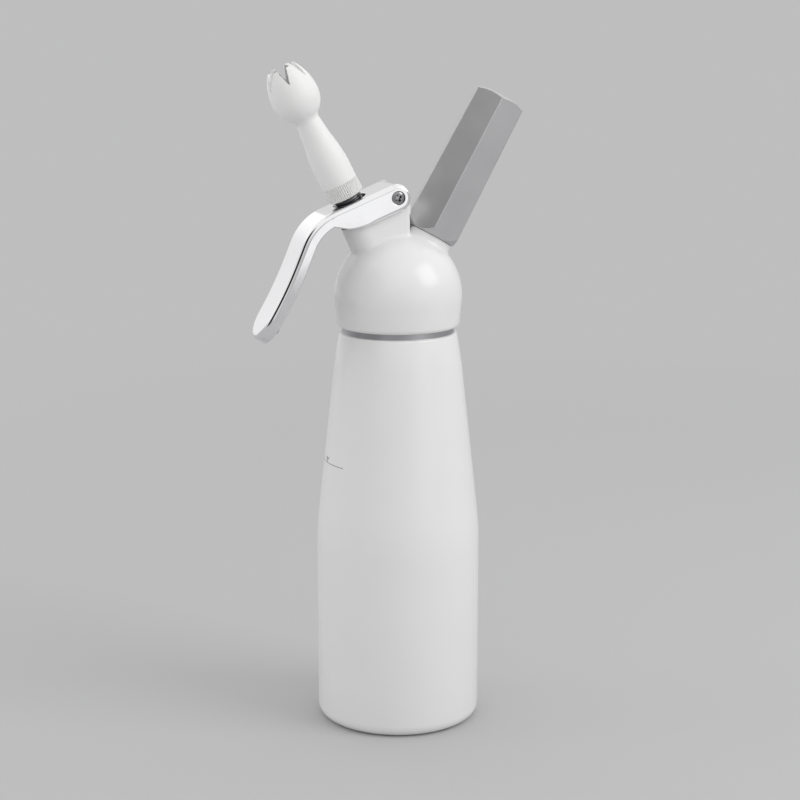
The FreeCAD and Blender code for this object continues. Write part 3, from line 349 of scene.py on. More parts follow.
def finished(finish, values, patterns):
    """Ends a finish: its patterns feed sockets of the shader, and other sockets get plain values."""
    shader = add(finish.node_tree, "ShaderNodeBsdfPrincipled", values, patterns)
    add(finish.node_tree, "ShaderNodeOutputMaterial", links={"Surface": shader})
    return finish


print("mid grey #808080 is %.3f in linear light" % linear("#808080")[0])

# %% [markdown]
# ## White lacquer
#
# The flask and the head are aluminium under a thick stove-baked white lacquer. It is glossy but not a mirror:
# the paint levels out into a skin with very shallow waves a couple of millimetres long, which painters call
# orange peel. The waves and a slight roughness soften the reflections. The colour is a neutral white, a shade
# warmer in some places than in others. On the flask, a thin grey line with a pointer is printed under the lever
# as a plain filling mark. The print is a mask worked out from the place on the surface: the distance along the
# circumference, measured from the lever's side, and the height.

# %% the filling mark's mask
MARK_HEIGHT = 126.6
MARK_HALF_LENGTH = 17.0
MARK_THICKNESS = 0.45
POINTER_HEIGHT = 2.6
MARK_GREY = "#A2A2A3"
FLASK_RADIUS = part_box("bottle")[1].x / MM


def printed_mark(tree, place):
    """1 on the printed line and on the pointer above its middle, 0 elsewhere."""
    parts = add(tree, "ShaderNodeSeparateXYZ", links={0: place})
    minus_x = add(tree, "ShaderNodeMath", {"operation": "MULTIPLY", 1: -1.0}, {0: parts.outputs["X"]})
    angle = add(tree, "ShaderNodeMath", {"operation": "ARCTAN2"}, {0: parts.outputs["Y"], 1: minus_x})
    along = add(tree, "ShaderNodeMath", {"operation": "MULTIPLY", 1: FLASK_RADIUS * MM}, {0: angle})
    along = add(tree, "ShaderNodeMath", {"operation": "ABSOLUTE"}, {0: along})
    above = add(tree, "ShaderNodeMath", {"operation": "SUBTRACT", 1: MARK_HEIGHT * MM}, {0: parts.outputs["Z"]})
    off_line = add(tree, "ShaderNodeMath", {"operation": "ABSOLUTE"}, {0: above})
    on_line = add(tree, "ShaderNodeMath", {"operation": "LESS_THAN", 1: MARK_THICKNESS / 2 * MM}, {0: off_line})
    in_reach = add(tree, "ShaderNodeMath", {"operation": "LESS_THAN", 1: MARK_HALF_LENGTH * MM}, {0: along})
    line = add(tree, "ShaderNodeMath", {"operation": "MULTIPLY"}, {0: on_line, 1: in_reach})
    in_pointer = add(tree, "ShaderNodeMath", {"operation": "LESS_THAN"}, {0: along, 1: above})
    below_top = add(tree, "ShaderNodeMath", {"operation": "LESS_THAN", 1: POINTER_HEIGHT * MM}, {0: above})
    pointer = add(tree, "ShaderNodeMath", {"operation": "MULTIPLY"}, {0: in_pointer, 1: below_top})
    return add(tree, "ShaderNodeMath", {"operation": "MAXIMUM"}, {0: line, 1: pointer})


print("filling mark %.0f mm long, %.1f mm up" % (2 * MARK_HALF_LENGTH, MARK_HEIGHT))

# %% white lacquer
PEEL_SIZE = 2.2
PEEL_DEPTH = 0.004 * MM
TINT_SIZE = 30.0
SMEAR_SIZE = 9.0


def lacquer(name, with_mark):
    """Stove-baked white lacquer: neutral white, glossy, with shallow orange peel."""
    finish, tree, place = new_finish(name)
    tint = add(tree, "ShaderNodeTexNoise", {"Scale": per_metre(TINT_SIZE), "Detail": 2.0}, {"Vector": place})
    colour = add(tree, "ShaderNodeMix", {"data_type": "RGBA", 6: linear("#E6E6E6"), 7: linear("#EAEAE9")},
                 {0: tint})
    colour = colour.outputs[2]
    if with_mark:
        mark = printed_mark(tree, place)
        colour = add(tree, "ShaderNodeMix", {"data_type": "RGBA", 7: linear(MARK_GREY)},
                     {0: mark, 6: colour}).outputs[2]
    peel = add(tree, "ShaderNodeTexNoise", {"Scale": per_metre(PEEL_SIZE), "Detail": 1.0}, {"Vector": place})
    bump = add(tree, "ShaderNodeBump", {"Strength": 0.6, "Distance": PEEL_DEPTH}, {"Height": peel})
    smear = add(tree, "ShaderNodeTexNoise", {"Scale": per_metre(SMEAR_SIZE), "Detail": 4.0}, {"Vector": place})
    rough = add(tree, "ShaderNodeMapRange", {"To Min": 0.17, "To Max": 0.25}, {"Value": smear})
    return finished(finish, {"IOR": 1.5}, {"Base Color": colour, "Roughness": rough, "Normal": bump})


flask_lacquer = lacquer("white_lacquer_with_mark", with_mark=True)
head_lacquer = lacquer("white_lacquer", with_mark=False)
print("orange peel at a scale of %.0f per metre" % per_metre(PEEL_SIZE))

# %% [markdown]
# ## Bare turned metals
#
# Where the lacquer stops, the metal was turned on a lathe and left bare: the ring under the head, the threaded
# neck, and all the small valve parts. A turning tool leaves fine grooves round the axis, so the reflection
# spreads across them. The grooves are a wave along the piece's own axis, for which the coordinates are turned
# with a Mapping node. Real ones are near 0.1 mm apart; they are drawn at 0.35 mm, because finer ones don't show.
# One function makes all of these metals from two close colours, a roughness and an axis.

# %% turned metal
GROOVE_SPACING = 0.35
GROOVE_DEPTH = 0.003 * MM
STAIN_SIZE = 5.0


def along_axis(tree, place, axis):
    """The place on a piece as its own upright frame sees it."""
    settings = {"vector_type": "TEXTURE", "Location": axis.to_translation(), "Rotation": axis.to_euler()}
    return add(tree, "ShaderNodeMapping", settings, {"Vector": place})


def turned_metal(name, pale, deep, roughness, axis):
    finish, tree, place = new_finish(name)
    local = along_axis(tree, place, axis)
    grooves = add(tree, "ShaderNodeTexWave", {
        "bands_direction": "Z", "Scale": lines_per_metre(GROOVE_SPACING), "Distortion": 1.2, "Detail": 2.0,
        "Detail Scale": 0.4}, {"Vector": local})
    bump = add(tree, "ShaderNodeBump", {"Strength": 0.5, "Distance": GROOVE_DEPTH}, {"Height": grooves})
    stain = add(tree, "ShaderNodeTexNoise", {"Scale": per_metre(STAIN_SIZE), "Detail": 5.0}, {"Vector": local})
    colour = add(tree, "ShaderNodeMix", {"data_type": "RGBA", 6: linear(deep), 7: linear(pale)}, {0: stain})
    rough = add(tree, "ShaderNodeMapRange", {"To Min": roughness - 0.05, "To Max": roughness + 0.08},
                {"Value": stain})
    return finished(finish, {"Metallic": 1.0}, {"Base Color": colour.outputs[2], "Roughness": rough, "Normal": bump})


bare_aluminium = turned_metal("turned_aluminium", "#BABABC", "#A5A5A8", 0.34, UPRIGHT)
valve_steel = turned_metal("turned_steel_valve", "#A8A8AA", "#939396", 0.26, VALVE)
port_steel = turned_metal("turned_steel_port", "#A8A8AA", "#939396", 0.26, PORT)
# Painted shade: the adapter's steel is darkened so that the hole under the nozzle reads dark, as shade in it would.
painted_shade_steel = turned_metal("adapter_steel_painted_shade", "#6A6A6C", "#565658", 0.3, VALVE)
valve_brass = turned_metal("turned_brass_valve", "#D3B579", "#BC9A5C", 0.28, VALVE)
port_brass = turned_metal("turned_brass_port", "#D3B579", "#BC9A5C", 0.28, PORT)
print("turning grooves %.2f mm apart" % GROOVE_SPACING)

# %% [markdown]
# ## The flask
#
# A half litre flask is drawn from one disc of aluminium: a straight wall, a long easy curve into the cone and a
# tight shoulder, above which the metal is bare, first as a plain ring and then as the neck for the head. It is
# turned from its outline, outside and inside in one go, because the wall shows at the mouth when the head is
# off. The curve from wall to cone is an arc that touches both, so it is a rounded corner like the others, only
# with a radius of 170 mm, and it gets more points by being rounded on its own.

# %% the flask's outline
WALL = 1.6
BASE_THICKNESS = 2.4
BASE_ROUND = 5.5
CONE_START = 93.7
CONE_BLEND = 170.0
CONE_END = (29.62, 174.5)
CONE_END_BLEND = 100.0
SHOULDER_RADIUS = 27.5
SHOULDER_HEIGHT = 187.0
SHOULDER_ROUND = 1.15
INNER_SLOPE_TOP = 181.0
INNER_SLOPE_SPARE = 0.4
INNER_ROUND = 1.0
RING_RADIUS = 26.2
RING_TOP = 191.2
NECK_RADIUS = 23.8
NECK_BORE = 21.8
NECK_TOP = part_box("bottle")[1].z / MM
LIP = 0.5
RING_CREASE = 0.15
NECK_CREASE = 0.2
FLASK_SEGMENTS = 144
CONE_SLOPE = (FLASK_RADIUS - CONE_END[0]) / (CONE_END[1] - CONE_START)
BLEND_REACH = CONE_BLEND * math.tan(math.atan(CONE_SLOPE) / 2)
BLEND_STEPS = 10


def into_cone(radius, upwards):
    """The long curve between wall and cone, from its first to its last point."""
    low = (radius, CONE_START - BLEND_REACH, 0)
    slope = math.atan(CONE_SLOPE)
    high = (radius - BLEND_REACH * math.sin(slope), CONE_START + BLEND_REACH * math.cos(slope), 0)
    if upwards:
        return [low] + bowed(low, high, CONE_BLEND, BLEND_STEPS) + [high]
    return [high] + bowed(high, low, -CONE_BLEND, BLEND_STEPS) + [low]


inside = FLASK_RADIUS - WALL
inner_slope_radius = CONE_END[0] - (INNER_SLOPE_TOP - CONE_END[1]) * CONE_SLOPE - WALL - INNER_SLOPE_SPARE
flask_outline = rounded([
    (0, 0, 0), (FLASK_RADIUS, 0, BASE_ROUND),
    *into_cone(FLASK_RADIUS, upwards=True),
    (*CONE_END, CONE_END_BLEND),
    (SHOULDER_RADIUS, SHOULDER_HEIGHT, SHOULDER_ROUND),
    (RING_RADIUS, SHOULDER_HEIGHT, RING_CREASE),
    (RING_RADIUS, RING_TOP, LIP), (NECK_RADIUS, RING_TOP, NECK_CREASE),
    (NECK_RADIUS, NECK_TOP, LIP), (NECK_BORE, NECK_TOP, LIP),
    (NECK_BORE, SHOULDER_HEIGHT - WALL, INNER_ROUND), (inner_slope_radius, INNER_SLOPE_TOP, INNER_ROUND),
    *into_cone(inside, upwards=False),
    (inside, BASE_THICKNESS, BASE_ROUND - WALL), (0, BASE_THICKNESS, 0)])
flask = turned("lacquered_flask", flask_outline, FLASK_SEGMENTS)
report(flask)

# %% [markdown]
# The neck carries a coarse thread of a little over two turns. A thread is one small cross section wound up a
# helix, which is what the Screw modifier does: a plane is stood on end, its outer edge is narrowed to a crest,
# and its empty outline is wound. The two ends are closed with a face each.

# %% a screw thread
RIDGE_SINK = 0.2
RIDGE_SHARE = 0.6
CREST_SHARE = 0.35
STEPS_PER_TURN = 72


def threaded(name, root, depth, pitch, low, turns):
    """A helical ridge whose foot is sunk a little into the shaft that it belongs to."""
    whole = depth + RIDGE_SINK
    middle = root - RIDGE_SINK + whole / 2
    centre = low + RIDGE_SHARE / 2 * pitch
    ridge = started(name, bpy.ops.mesh.primitive_plane_add, 1)
    bpy.ops.transform.rotate(value=math.pi / 2, orient_axis="X", center_override=(0, 0, 0))
    bpy.ops.transform.resize(value=(whole * MM, 1, RIDGE_SHARE * pitch * MM), center_override=(0, 0, 0))
    bpy.ops.transform.translate(value=(middle * MM, 0, centre * MM))
    pick(ridge, "VERT", lambda corner: corner.co.x > middle * MM)
    bpy.ops.transform.resize(value=(1, 1, CREST_SHARE), center_override=(0, 0, centre * MM))
    bpy.ops.mesh.select_all(action="SELECT")
    bpy.ops.mesh.delete(type="ONLY_FACE")
    bpy.ops.object.mode_set(mode="OBJECT")
    modify(ridge, "SCREW", axis="Z", angle=math.tau * turns, screw_offset=pitch * turns * MM,
           steps=round(STEPS_PER_TURN * turns), render_steps=round(STEPS_PER_TURN * turns),
           use_merge_vertices=False)
    edit(ridge)
    bpy.ops.mesh.select_all(action="SELECT")
    bpy.ops.mesh.fill_holes(sides=4)
    close_up(ridge)
    return ridge


def joined(piece, other):
    """Joins another mesh into a piece."""
    only(piece)
    other.select_set(True)
    bpy.ops.object.join()


THREAD_DEPTH = 0.9
THREAD_PITCH = 3.5
THREAD_TURNS = 2.2
joined(flask, threaded("neck_thread", NECK_RADIUS, THREAD_DEPTH, THREAD_PITCH, RING_TOP + 1, THREAD_TURNS))
report(flask)

# %% [markdown]
# The lacquer covers the outside up to the shoulder. Faces above it and inside are picked by their place and get
# the second finish, the bare metal.

# %% lacquer outside, bare metal above and inside
def assign(piece, slot_index, wanted):
    """Gives the faces that a test picks one of the piece's finishes."""
    edit(piece)
    count = pick(piece, "FACE", wanted)
    piece.active_material_index = slot_index
    bpy.ops.object.material_slot_assign()
    bpy.ops.object.mode_set(mode="OBJECT")
    return count


def is_bare(face):
    middle = face.calc_center_median()
    radius = math.hypot(middle.x, middle.y) / MM
    above = middle.z > (SHOULDER_HEIGHT + 0.05) * MM
    facing_in = face.normal.x * middle.x + face.normal.y * middle.y < 0 or radius < NECK_BORE
    return above or (facing_in and middle.z > 1 * MM)


stands_for(flask, "bottle", "white_lacquer", flask_lacquer, bare_aluminium)
print("bare faces:", assign(flask, 1, is_bare))

# %% [markdown]
# ## The head
#
# The head is one casting: a ball with a skirt, the stalk of the valve and the boss of the charger's port. The
# solid already has the blends where they meet, so its mesh is copied. It is lacquered outside. Its bores are
# machined after painting, so they are bare: they are the faces that lie close to one of the three axes and look
# towards it.

# %% the head
BORE_REACH = ((UPRIGHT, 27.0), (VALVE, 7.6), (PORT, 8.2))
FACING_IN = -0.2


def in_a_bore(face):
    middle = face.calc_center_median()
    for axis, reach in BORE_REACH:
        local = axis.inverted() @ middle
        normal = axis.to_3x3().inverted() @ face.normal
        radius = math.hypot(local.x, local.y)
        looks_in = normal.x * local.x + normal.y * local.y < FACING_IN * radius
        if radius < reach * MM and looks_in:
            return True
    return False


head = copy_of("head", "lacquered_head")
stands_for(head, "head", "white_lacquer", head_lacquer, bare_aluminium)
print("bored faces:", assign(head, 1, in_a_bore))

# %% [markdown]
# ## White plastic
#
# The nozzle is moulded in white polypropylene. The plastic is a little translucent, so light bleeds through its
# edges, and the mould was spark-eroded, which leaves a fine matt grain of about 0.3 mm. The grain is drawn at
# 0.5 mm, because a finer one doesn't show.

# %% moulded polypropylene
GRAIN_SIZE = 0.5
GRAIN_DEPTH = 0.01 * MM
TONE_SIZE = 12.0
BLEED = 0.4 * MM


def moulded_plastic(name):
    finish, tree, place = new_finish(name)
    tone = add(tree, "ShaderNodeTexNoise", {"Scale": per_metre(TONE_SIZE), "Detail": 2.0}, {"Vector": place})
    colour = add(tree, "ShaderNodeMix", {"data_type": "RGBA", 6: linear("#ECECEB"), 7: linear("#F1F1F0")},
                 {0: tone})
    grain = add(tree, "ShaderNodeTexNoise", {"Scale": per_metre(GRAIN_SIZE), "Detail": 3.0}, {"Vector": place})
    bump = add(tree, "ShaderNodeBump", {"Strength": 0.35, "Distance": GRAIN_DEPTH}, {"Height": grain})
    rough = add(tree, "ShaderNodeMapRange", {"To Min": 0.42, "To Max": 0.52}, {"Value": tone})
    values = {"IOR": 1.49, "Subsurface Weight": 0.15, "Subsurface Radius": (1.0, 1.0, 1.0),
              "Subsurface Scale": BLEED}
    return finished(finish, values, {"Base Color": colour.outputs[2], "Roughness": rough, "Normal": bump})


nozzle_plastic = moulded_plastic("white_polypropylene")

# %% [markdown]
# ## The nozzle
#
# The tulip nozzle is a turned shape: a collar for the fingers, a long tapering body, a waist, and the cup that
# shapes the cream. Outside and inside are one closed outline. The spin gets four points for each rib of the
# collar, so that pulling every second pair of points inwards makes the ribs.

# %% the nozzle's outline
NOZZLE_RADIUS = 8.42
COLLAR_TOP = 7.2
COLLAR_EDGE = 0.5
RIB_TOP = COLLAR_TOP - 0.4
MID = (6.65, 29.3, 0)
WAIST = (5.55, 38.4, 0)
CUP_FOOT_HEIGHT = 41.6
CUP = (11.15, 50.8, 0)
CUP_LOWER_ROUND = 13.5
CUP_UPPER_ROUND = 24.5
WAIST_ROUND = 4.48
BODY_ROUND = 76.2
NOZZLE_LENGTH = 65.0
NOZZLE_WALL = 1.3
SOCKET = (6.95, 11.0, 0)
RIBS = 52
RIB_DEPTH = 0.75


def cup_radius(height, rounding, wall):
    """The cup's radius at a height, from the arc that touches its widest ring; the wall is taken off."""
    return CUP[0] - rounding + math.sqrt((rounding - wall) ** 2 - (CUP[1] - height) ** 2)


def cup_corners(wall):
    """Waist, foot, widest ring and tip of the cup, outside for a wall of 0 and else inside."""
    foot = (cup_radius(CUP_FOOT_HEIGHT, CUP_LOWER_ROUND, wall), CUP_FOOT_HEIGHT, 0)
    widest = (CUP[0] - wall, CUP[1], 0)
    tip = (cup_radius(NOZZLE_LENGTH, CUP_UPPER_ROUND, wall), NOZZLE_LENGTH, 0)
    waist = (WAIST[0] - wall, WAIST[1], 0)
    return [waist, *bowed(waist, foot, -(WAIST_ROUND + wall), 6), foot,
            *bowed(foot, widest, CUP_LOWER_ROUND - wall, 8), widest,
            *bowed(widest, tip, CUP_UPPER_ROUND - wall, 12), tip]


collar = [(NOZZLE_RADIUS - 0.3, 0, 0), (NOZZLE_RADIUS, 0.3, 0), (NOZZLE_RADIUS, COLLAR_EDGE, 0),
          (NOZZLE_RADIUS, RIB_TOP, 0), (NOZZLE_RADIUS, COLLAR_TOP - 0.25, 0),
          (NOZZLE_RADIUS - 0.2, COLLAR_TOP - 0.1, 0), (NOZZLE_RADIUS - 0.2, COLLAR_TOP + 0.1, 0)]
body_foot = (NOZZLE_RADIUS - 0.03, COLLAR_TOP + 0.3, 0)
bore_top = (MID[0] - NOZZLE_WALL, MID[1], 0)
nozzle_corners = [
    (SOCKET[0], 0, 0), *collar, body_foot, *bowed(body_foot, MID, BODY_ROUND, 10), MID, *cup_corners(0),
    *reversed(cup_corners(NOZZLE_WALL)), bore_top, (bore_top[0], SOCKET[1], 0), SOCKET, (SOCKET[0], 0, 0)]
nozzle = turned("tulip_nozzle", rounded(nozzle_corners), 4 * RIBS)
report(nozzle)

# %% ribs on the collar
TOUCH = 0.01


def in_a_groove(corner):
    """Whether a point of the collar's band belongs to the pair that is pulled in."""
    height, radius = corner.co.z / MM, math.hypot(corner.co.x, corner.co.y) / MM
    if not (COLLAR_EDGE - TOUCH < height < RIB_TOP + TOUCH) or radius < NOZZLE_RADIUS - TOUCH:
        return False
    position = math.atan2(corner.co.y, corner.co.x) / math.tau * 4 * RIBS
    return round(position) % 4 in (2, 3)


edit(nozzle)
pulled = pick(nozzle, "VERT", in_a_groove)
shrink = (NOZZLE_RADIUS - RIB_DEPTH) / NOZZLE_RADIUS
bpy.ops.transform.resize(value=(shrink, shrink, 1), center_override=(0, 0, 0))
close_up(nozzle, recalculate=False)
print("collar: %d ribs, %d points pulled in" % (RIBS, pulled))

# %% [markdown]
# The cup ends in six teeth. Each pair of opposite notches is one cut right through with a wedge: a cube whose
# lower face is narrowed. Three Boolean cuts make all six, and a narrow bevel then takes the edge off the teeth,
# as a mould does. A cut leaves slivers, on which a bevel goes wrong, so they are merged and flat triangles are
# dissolved into whole faces first. The Bevel modifier takes each edge's width from a weight that is stored on
# the edge, so the ribs of the collar, which have a weight of 0, stay crisp. A Weighted Normal modifier then lets
# the large faces set the shading.

# %% cut the teeth
NOTCH_DEPTH = 6.9
NOTCH_WIDTH = 4.4
NOTCH_TURN = math.radians(19.2)
ROOT_WIDTH = 0.35
CUTTER_SPARE = 2.0


def wedge(size, foot, middle, turn):
    """A cutter: a cube of a size in mm, its lower face narrowed by two factors, moved up and turned about Z."""
    cutter = started("cutter", bpy.ops.mesh.primitive_cube_add, 1)
    bpy.ops.transform.resize(value=[side * MM for side in size], center_override=(0, 0, 0))
    pick(cutter, "VERT", lambda corner: corner.co.z < 0)
    bpy.ops.transform.resize(value=(*foot, 1), center_override=(0, 0, 0))
    bpy.ops.mesh.select_all(action="SELECT")
    bpy.ops.transform.translate(value=(0, 0, middle * MM))
    bpy.ops.transform.rotate(value=-turn, orient_axis="Z", center_override=(0, 0, 0))
    bpy.ops.object.mode_set(mode="OBJECT")
    return cutter


def cut_away(piece, cutter):
    """Takes a cutter's shape off a piece and throws the cutter away."""
    modify(piece, "BOOLEAN", operation="DIFFERENCE", solver="EXACT", object=cutter)
    bpy.data.objects.remove(cutter)


cut_top = NOZZLE_LENGTH + CUTTER_SPARE
cut_root = NOZZLE_LENGTH - NOTCH_DEPTH
cut_width = NOTCH_WIDTH / NOTCH_DEPTH * (cut_top - cut_root)
for pair in range(3):
    cut_away(nozzle, wedge((4 * CUP[0], cut_width, cut_top - cut_root), (1, ROOT_WIDTH / cut_width),
                           (cut_top + cut_root) / 2, NOTCH_TURN + pair * math.pi / 3))
report(nozzle)

# %% take the edge off the teeth
TOOTH_ROUND = 0.14
SHARP_ON_TEETH = 50
SLIVER = 0.02
FLAT_WITHIN = math.radians(0.3)
NOZZLE_FOOT = 54.0


def soften(piece, from_degrees, widest, width_at):
    """Rounds the sharp edges, each by the width in mm that a function gives for it."""
    edit(piece)
    bpy.ops.mesh.select_all(action="SELECT")
    bpy.ops.mesh.remove_doubles(threshold=SLIVER * MM)
    bpy.ops.mesh.dissolve_limited(angle_limit=FLAT_WITHIN)
    mesh = bmesh.from_edit_mesh(piece.data)
    weight = mesh.edges.layers.float.new("bevel_weight_edge")
    sharp = [edge for edge in mesh.edges
             if edge.is_manifold and edge.calc_face_angle_signed() > math.radians(from_degrees)]
    for edge in sharp:
        edge[weight] = width_at(edge) / widest
    bmesh.update_edit_mesh(piece.data)
    bpy.ops.object.mode_set(mode="OBJECT")
    modify(piece, "BEVEL", width=widest * MM, segments=4, limit_method="WEIGHT", use_clamp_overlap=False)
    edit(piece)
    close_up(piece, recalculate=False)
    modify(piece, "WEIGHTED_NORMAL", keep_sharp=True)
    print("%s: %d sharp edges rounded" % (piece.name, len(sharp)))


def tooth_width_at(edge):
    """The teeth's rounding, and none below them."""
    return TOOTH_ROUND if all(end.co.z > CUP[1] * MM for end in edge.verts) else 0


soften(nozzle, SHARP_ON_TEETH, TOOTH_ROUND, tooth_width_at)
lay(nozzle, VALVE @ Matrix.Translation((0, 0, NOZZLE_FOOT * MM)))
stands_for(nozzle, "nozzle", "white_plastic", nozzle_plastic)

# %% [markdown]
# ## Polished chrome
#
# The lever is pressed from steel sheet, polished and chromium plated. Chrome is nearly white and reflects
# nearly everything, so it looks like its surroundings. What tells it from a perfect mirror is a slight waviness
# left by the polishing wheel, a few millimetres long, and the haze of finger marks, which only changes the
# roughness.

# %% chrome
WAVE_SIZE = 7.0
WAVE_DEPTH = 0.006 * MM
HAZE_SIZE = 11.0


def chrome():
    finish, tree, place = new_finish("polished_chrome")
    wave = add(tree, "ShaderNodeTexNoise", {"Scale": per_metre(WAVE_SIZE), "Detail": 1.0}, {"Vector": place})
    bump = add(tree, "ShaderNodeBump", {"Strength": 0.4, "Distance": WAVE_DEPTH}, {"Height": wave})
    haze = add(tree, "ShaderNodeTexNoise", {"Scale": per_metre(HAZE_SIZE), "Detail": 5.0, "Distortion": 0.6},
               {"Vector": place})
    rough = add(tree, "ShaderNodeMapRange", {"From Min": 0.35, "From Max": 0.75, "To Min": 0.06, "To Max": 0.13},
                {"Value": haze})
    colour = add(tree, "ShaderNodeMix", {"data_type": "RGBA", 6: linear("#F1F1F2"), 7: linear("#ECECED")},
                 {0: haze})
    return finished(finish, {"Metallic": 1.0}, {"Base Color": colour.outputs[2], "Roughness": rough, "Normal": bump})


lever_chrome = chrome()

# %% [markdown]
# ## The lever
#
# The lever's mesh is copied from the solid, which already has the bends of the pressing and the round folds
# along its sides. Sharp are only the cut edges of the sheet. The rims of the holes and the inner edges of the
# side walls are just broken before plating. The walls' outer edges are rounder, most of all round the hinge. One
# call rounds all of them as it did the teeth, because each edge's weight gives its own width, and the slivers
# where the folds start get none. Here the weighted normals matter most: they keep the reflections in the flat
# chrome straight.

# %% the lever
def joint(name):
    return [each for each in frame["joints"] if each["name"] == name][0]


LEVER_SLOPE = math.radians(22.0)
LEVER_HALF_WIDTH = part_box("lever")[1].y / MM
SCREW_HOLE_REACH = 4.0
CUT_ROUND = 0.2
SIDE_ROUND = 0.6
HINGE_ROUND = 1.7
SHARP_ON_LEVER = 60
EAR_FRONT = -24.0
EAR_BACK = -6.0
FOLD_START = 3.7
NEAR = 0.05
SHORT_EDGE = 0.1
LEVER = Matrix.Translation(joint("lever_squeeze")["pos_m"]) @ Matrix.Rotation(-LEVER_SLOPE, 4, "Y")


def lever_width_at(edge):
    """Widest round the hinge, easing off along the ear, narrow at holes and inside, none on slivers."""
    ends = [LEVER.inverted() @ end.co / MM for end in edge.verts]
    on_a_side = all(abs(end.y) > LEVER_HALF_WIDTH - TOUCH for end in ends)
    at_a_screw = all(math.hypot(end.x, end.z) < SCREW_HOLE_REACH for end in ends)
    at_plate_end = all(abs(end.x) < NEAR for end in ends)
    at_fold_start = all(abs(end.z - FOLD_START) < NEAR for end in ends)
    if at_plate_end or at_fold_start or edge.calc_length() < SHORT_EDGE * MM:
        return 0
    if at_a_screw or not on_a_side:
        return CUT_ROUND
    along = (ends[0].x + ends[1].x) / 2
    share = min(max((along - EAR_FRONT) / (EAR_BACK - EAR_FRONT), 0), 1)
    return SIDE_ROUND + share * (HINGE_ROUND - SIDE_ROUND)


lever = copy_of("lever", "chromed_lever")
soften(lever, SHARP_ON_LEVER, HINGE_ROUND, lever_width_at)
stands_for(lever, "lever", "chromed_steel", lever_chrome)

# %% [markdown]
# ## The pivot screws
#
# Two short screws hold the lever. Only the heads show: slightly domed discs with a cross recess. The recess of
# a real screw tapers, so it is cut with two crossed wedges, made like those that cut the teeth. The screws are
# nickel plated, and nickel is darker than chrome. The finish is the turned metal with its grooves level, which
# hardly show on heads this small.

# %% nickel and the screws
SCREW_HEAD_RADIUS = 3.1
SCREW_HEAD_TOP = 2.2
SCREW_SHANK = 2.0
SCREW_LENGTH = 6.5
CROSS_LENGTH = 5.0
CROSS_WIDTH = 1.6
CROSS_DEPTH = 1.6
CROSS_FOOT = (0.4, 0.5)
DOME_EDGE = 1.3
DOME_RISE = 0.12
SCREW_SEGMENTS = 64
screw_nickel = turned_metal("nickel_plated_steel", "#A9A9AB", "#8C8C8F", 0.12, UPRIGHT)


def pivot_screw(node, turn):
    """A screw made upright and laid on the lever's hinge, its head towards the side its solid's head is on."""
    low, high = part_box(node)
    side = math.copysign(1, low.y + high.y)
    seat = min(abs(low.y), abs(high.y)) / MM + SCREW_LENGTH
    face_edge = (SCREW_HEAD_RADIUS, SCREW_HEAD_TOP - 0.5, 0.4)
    dome_start = (SCREW_HEAD_RADIUS - DOME_EDGE, SCREW_HEAD_TOP - DOME_RISE, 0)
    screw = turned(node + "_made", rounded([
        (0, -SCREW_LENGTH, 0), (SCREW_SHANK, -SCREW_LENGTH, 0.3), (SCREW_SHANK, 0, 0),
        (SCREW_HEAD_RADIUS, 0, 0.1), face_edge, dome_start, (0, SCREW_HEAD_TOP, 0)]), SCREW_SEGMENTS)
    for arm_turn in (turn, turn + math.pi / 2):
        cut_away(screw, wedge((CROSS_LENGTH, CROSS_WIDTH, 2 * CROSS_DEPTH), CROSS_FOOT, SCREW_HEAD_TOP, arm_turn))
    edit(screw)
    close_up(screw)
    middle = (low + high) / 2
    hinge = Matrix.Translation((middle.x, side * seat * MM, middle.z))
    lay(screw, hinge @ Matrix.Rotation(-side * math.pi / 2, 4, "X"))
    stands_for(screw, node, "screw_steel", screw_nickel)


pivot_screw("pivot_screw_front", math.radians(28))
pivot_screw("pivot_screw_back", math.radians(65))

# %% [markdown]
# ## Satin aluminium
#
# The charger holder is a hexagon of aluminium with a silky, slightly dull surface: it was brushed across its
# length and then anodised. Brushing is noise that is stretched: fine along the axis and long across it, which a
# Mapping node gives by scaling the coordinates. Real scratches are much finer; they are drawn 0.5 mm apart to
# show at all. The hexagon's edges are only just broken.

# %% satin aluminium
BRUSH_SPACING = 0.5
BRUSH_LENGTH = 14.0
BRUSH_DEPTH = 0.01 * MM
ANODISED_TONE_SIZE = 18.0
HOLDER_ROUND = 0.12
SHARP_ON_HOLDER = 12


def satin_aluminium(name, axis):
    finish, tree, place = new_finish(name)
    local = along_axis(tree, place, axis)
    stretch = (per_metre(BRUSH_LENGTH), per_metre(BRUSH_LENGTH), per_metre(BRUSH_SPACING))
    pulled_out = add(tree, "ShaderNodeMapping", {"Scale": stretch}, {"Vector": local})
    brushing = add(tree, "ShaderNodeTexNoise", {"Scale": 1.0, "Detail": 4.0, "Roughness": 0.65},
                   {"Vector": pulled_out})
    bump = add(tree, "ShaderNodeBump", {"Strength": 0.35, "Distance": BRUSH_DEPTH}, {"Height": brushing})
    tone = add(tree, "ShaderNodeTexNoise", {"Scale": per_metre(ANODISED_TONE_SIZE), "Detail": 3.0},
               {"Vector": local})
    shade = add(tree, "ShaderNodeMath", {"operation": "MULTIPLY_ADD", 1: 0.5}, {0: brushing, 2: tone})
    colour = add(tree, "ShaderNodeMix", {"data_type": "RGBA", 6: linear("#BDBDBE"), 7: linear("#C9C9CA")},
                 {0: shade})
    rough = add(tree, "ShaderNodeMapRange", {"To Min": 0.4, "To Max": 0.52}, {"Value": tone})
    return finished(finish, {"Metallic": 1.0}, {"Base Color": colour.outputs[2], "Roughness": rough, "Normal": bump})


holder_satin = satin_aluminium("satin_anodised_aluminium", PORT)
holder = copy_of("charger_holder", "satin_holder")
soften(holder, SHARP_ON_HOLDER, HOLDER_ROUND, lambda edge: HOLDER_ROUND)
stands_for(holder, "charger_holder", "satin_metal", holder_satin)

# %% [markdown]
# ## Rubber
#
# The seals are black nitrile rubber, moulded, with a matt skin that is never quite even.

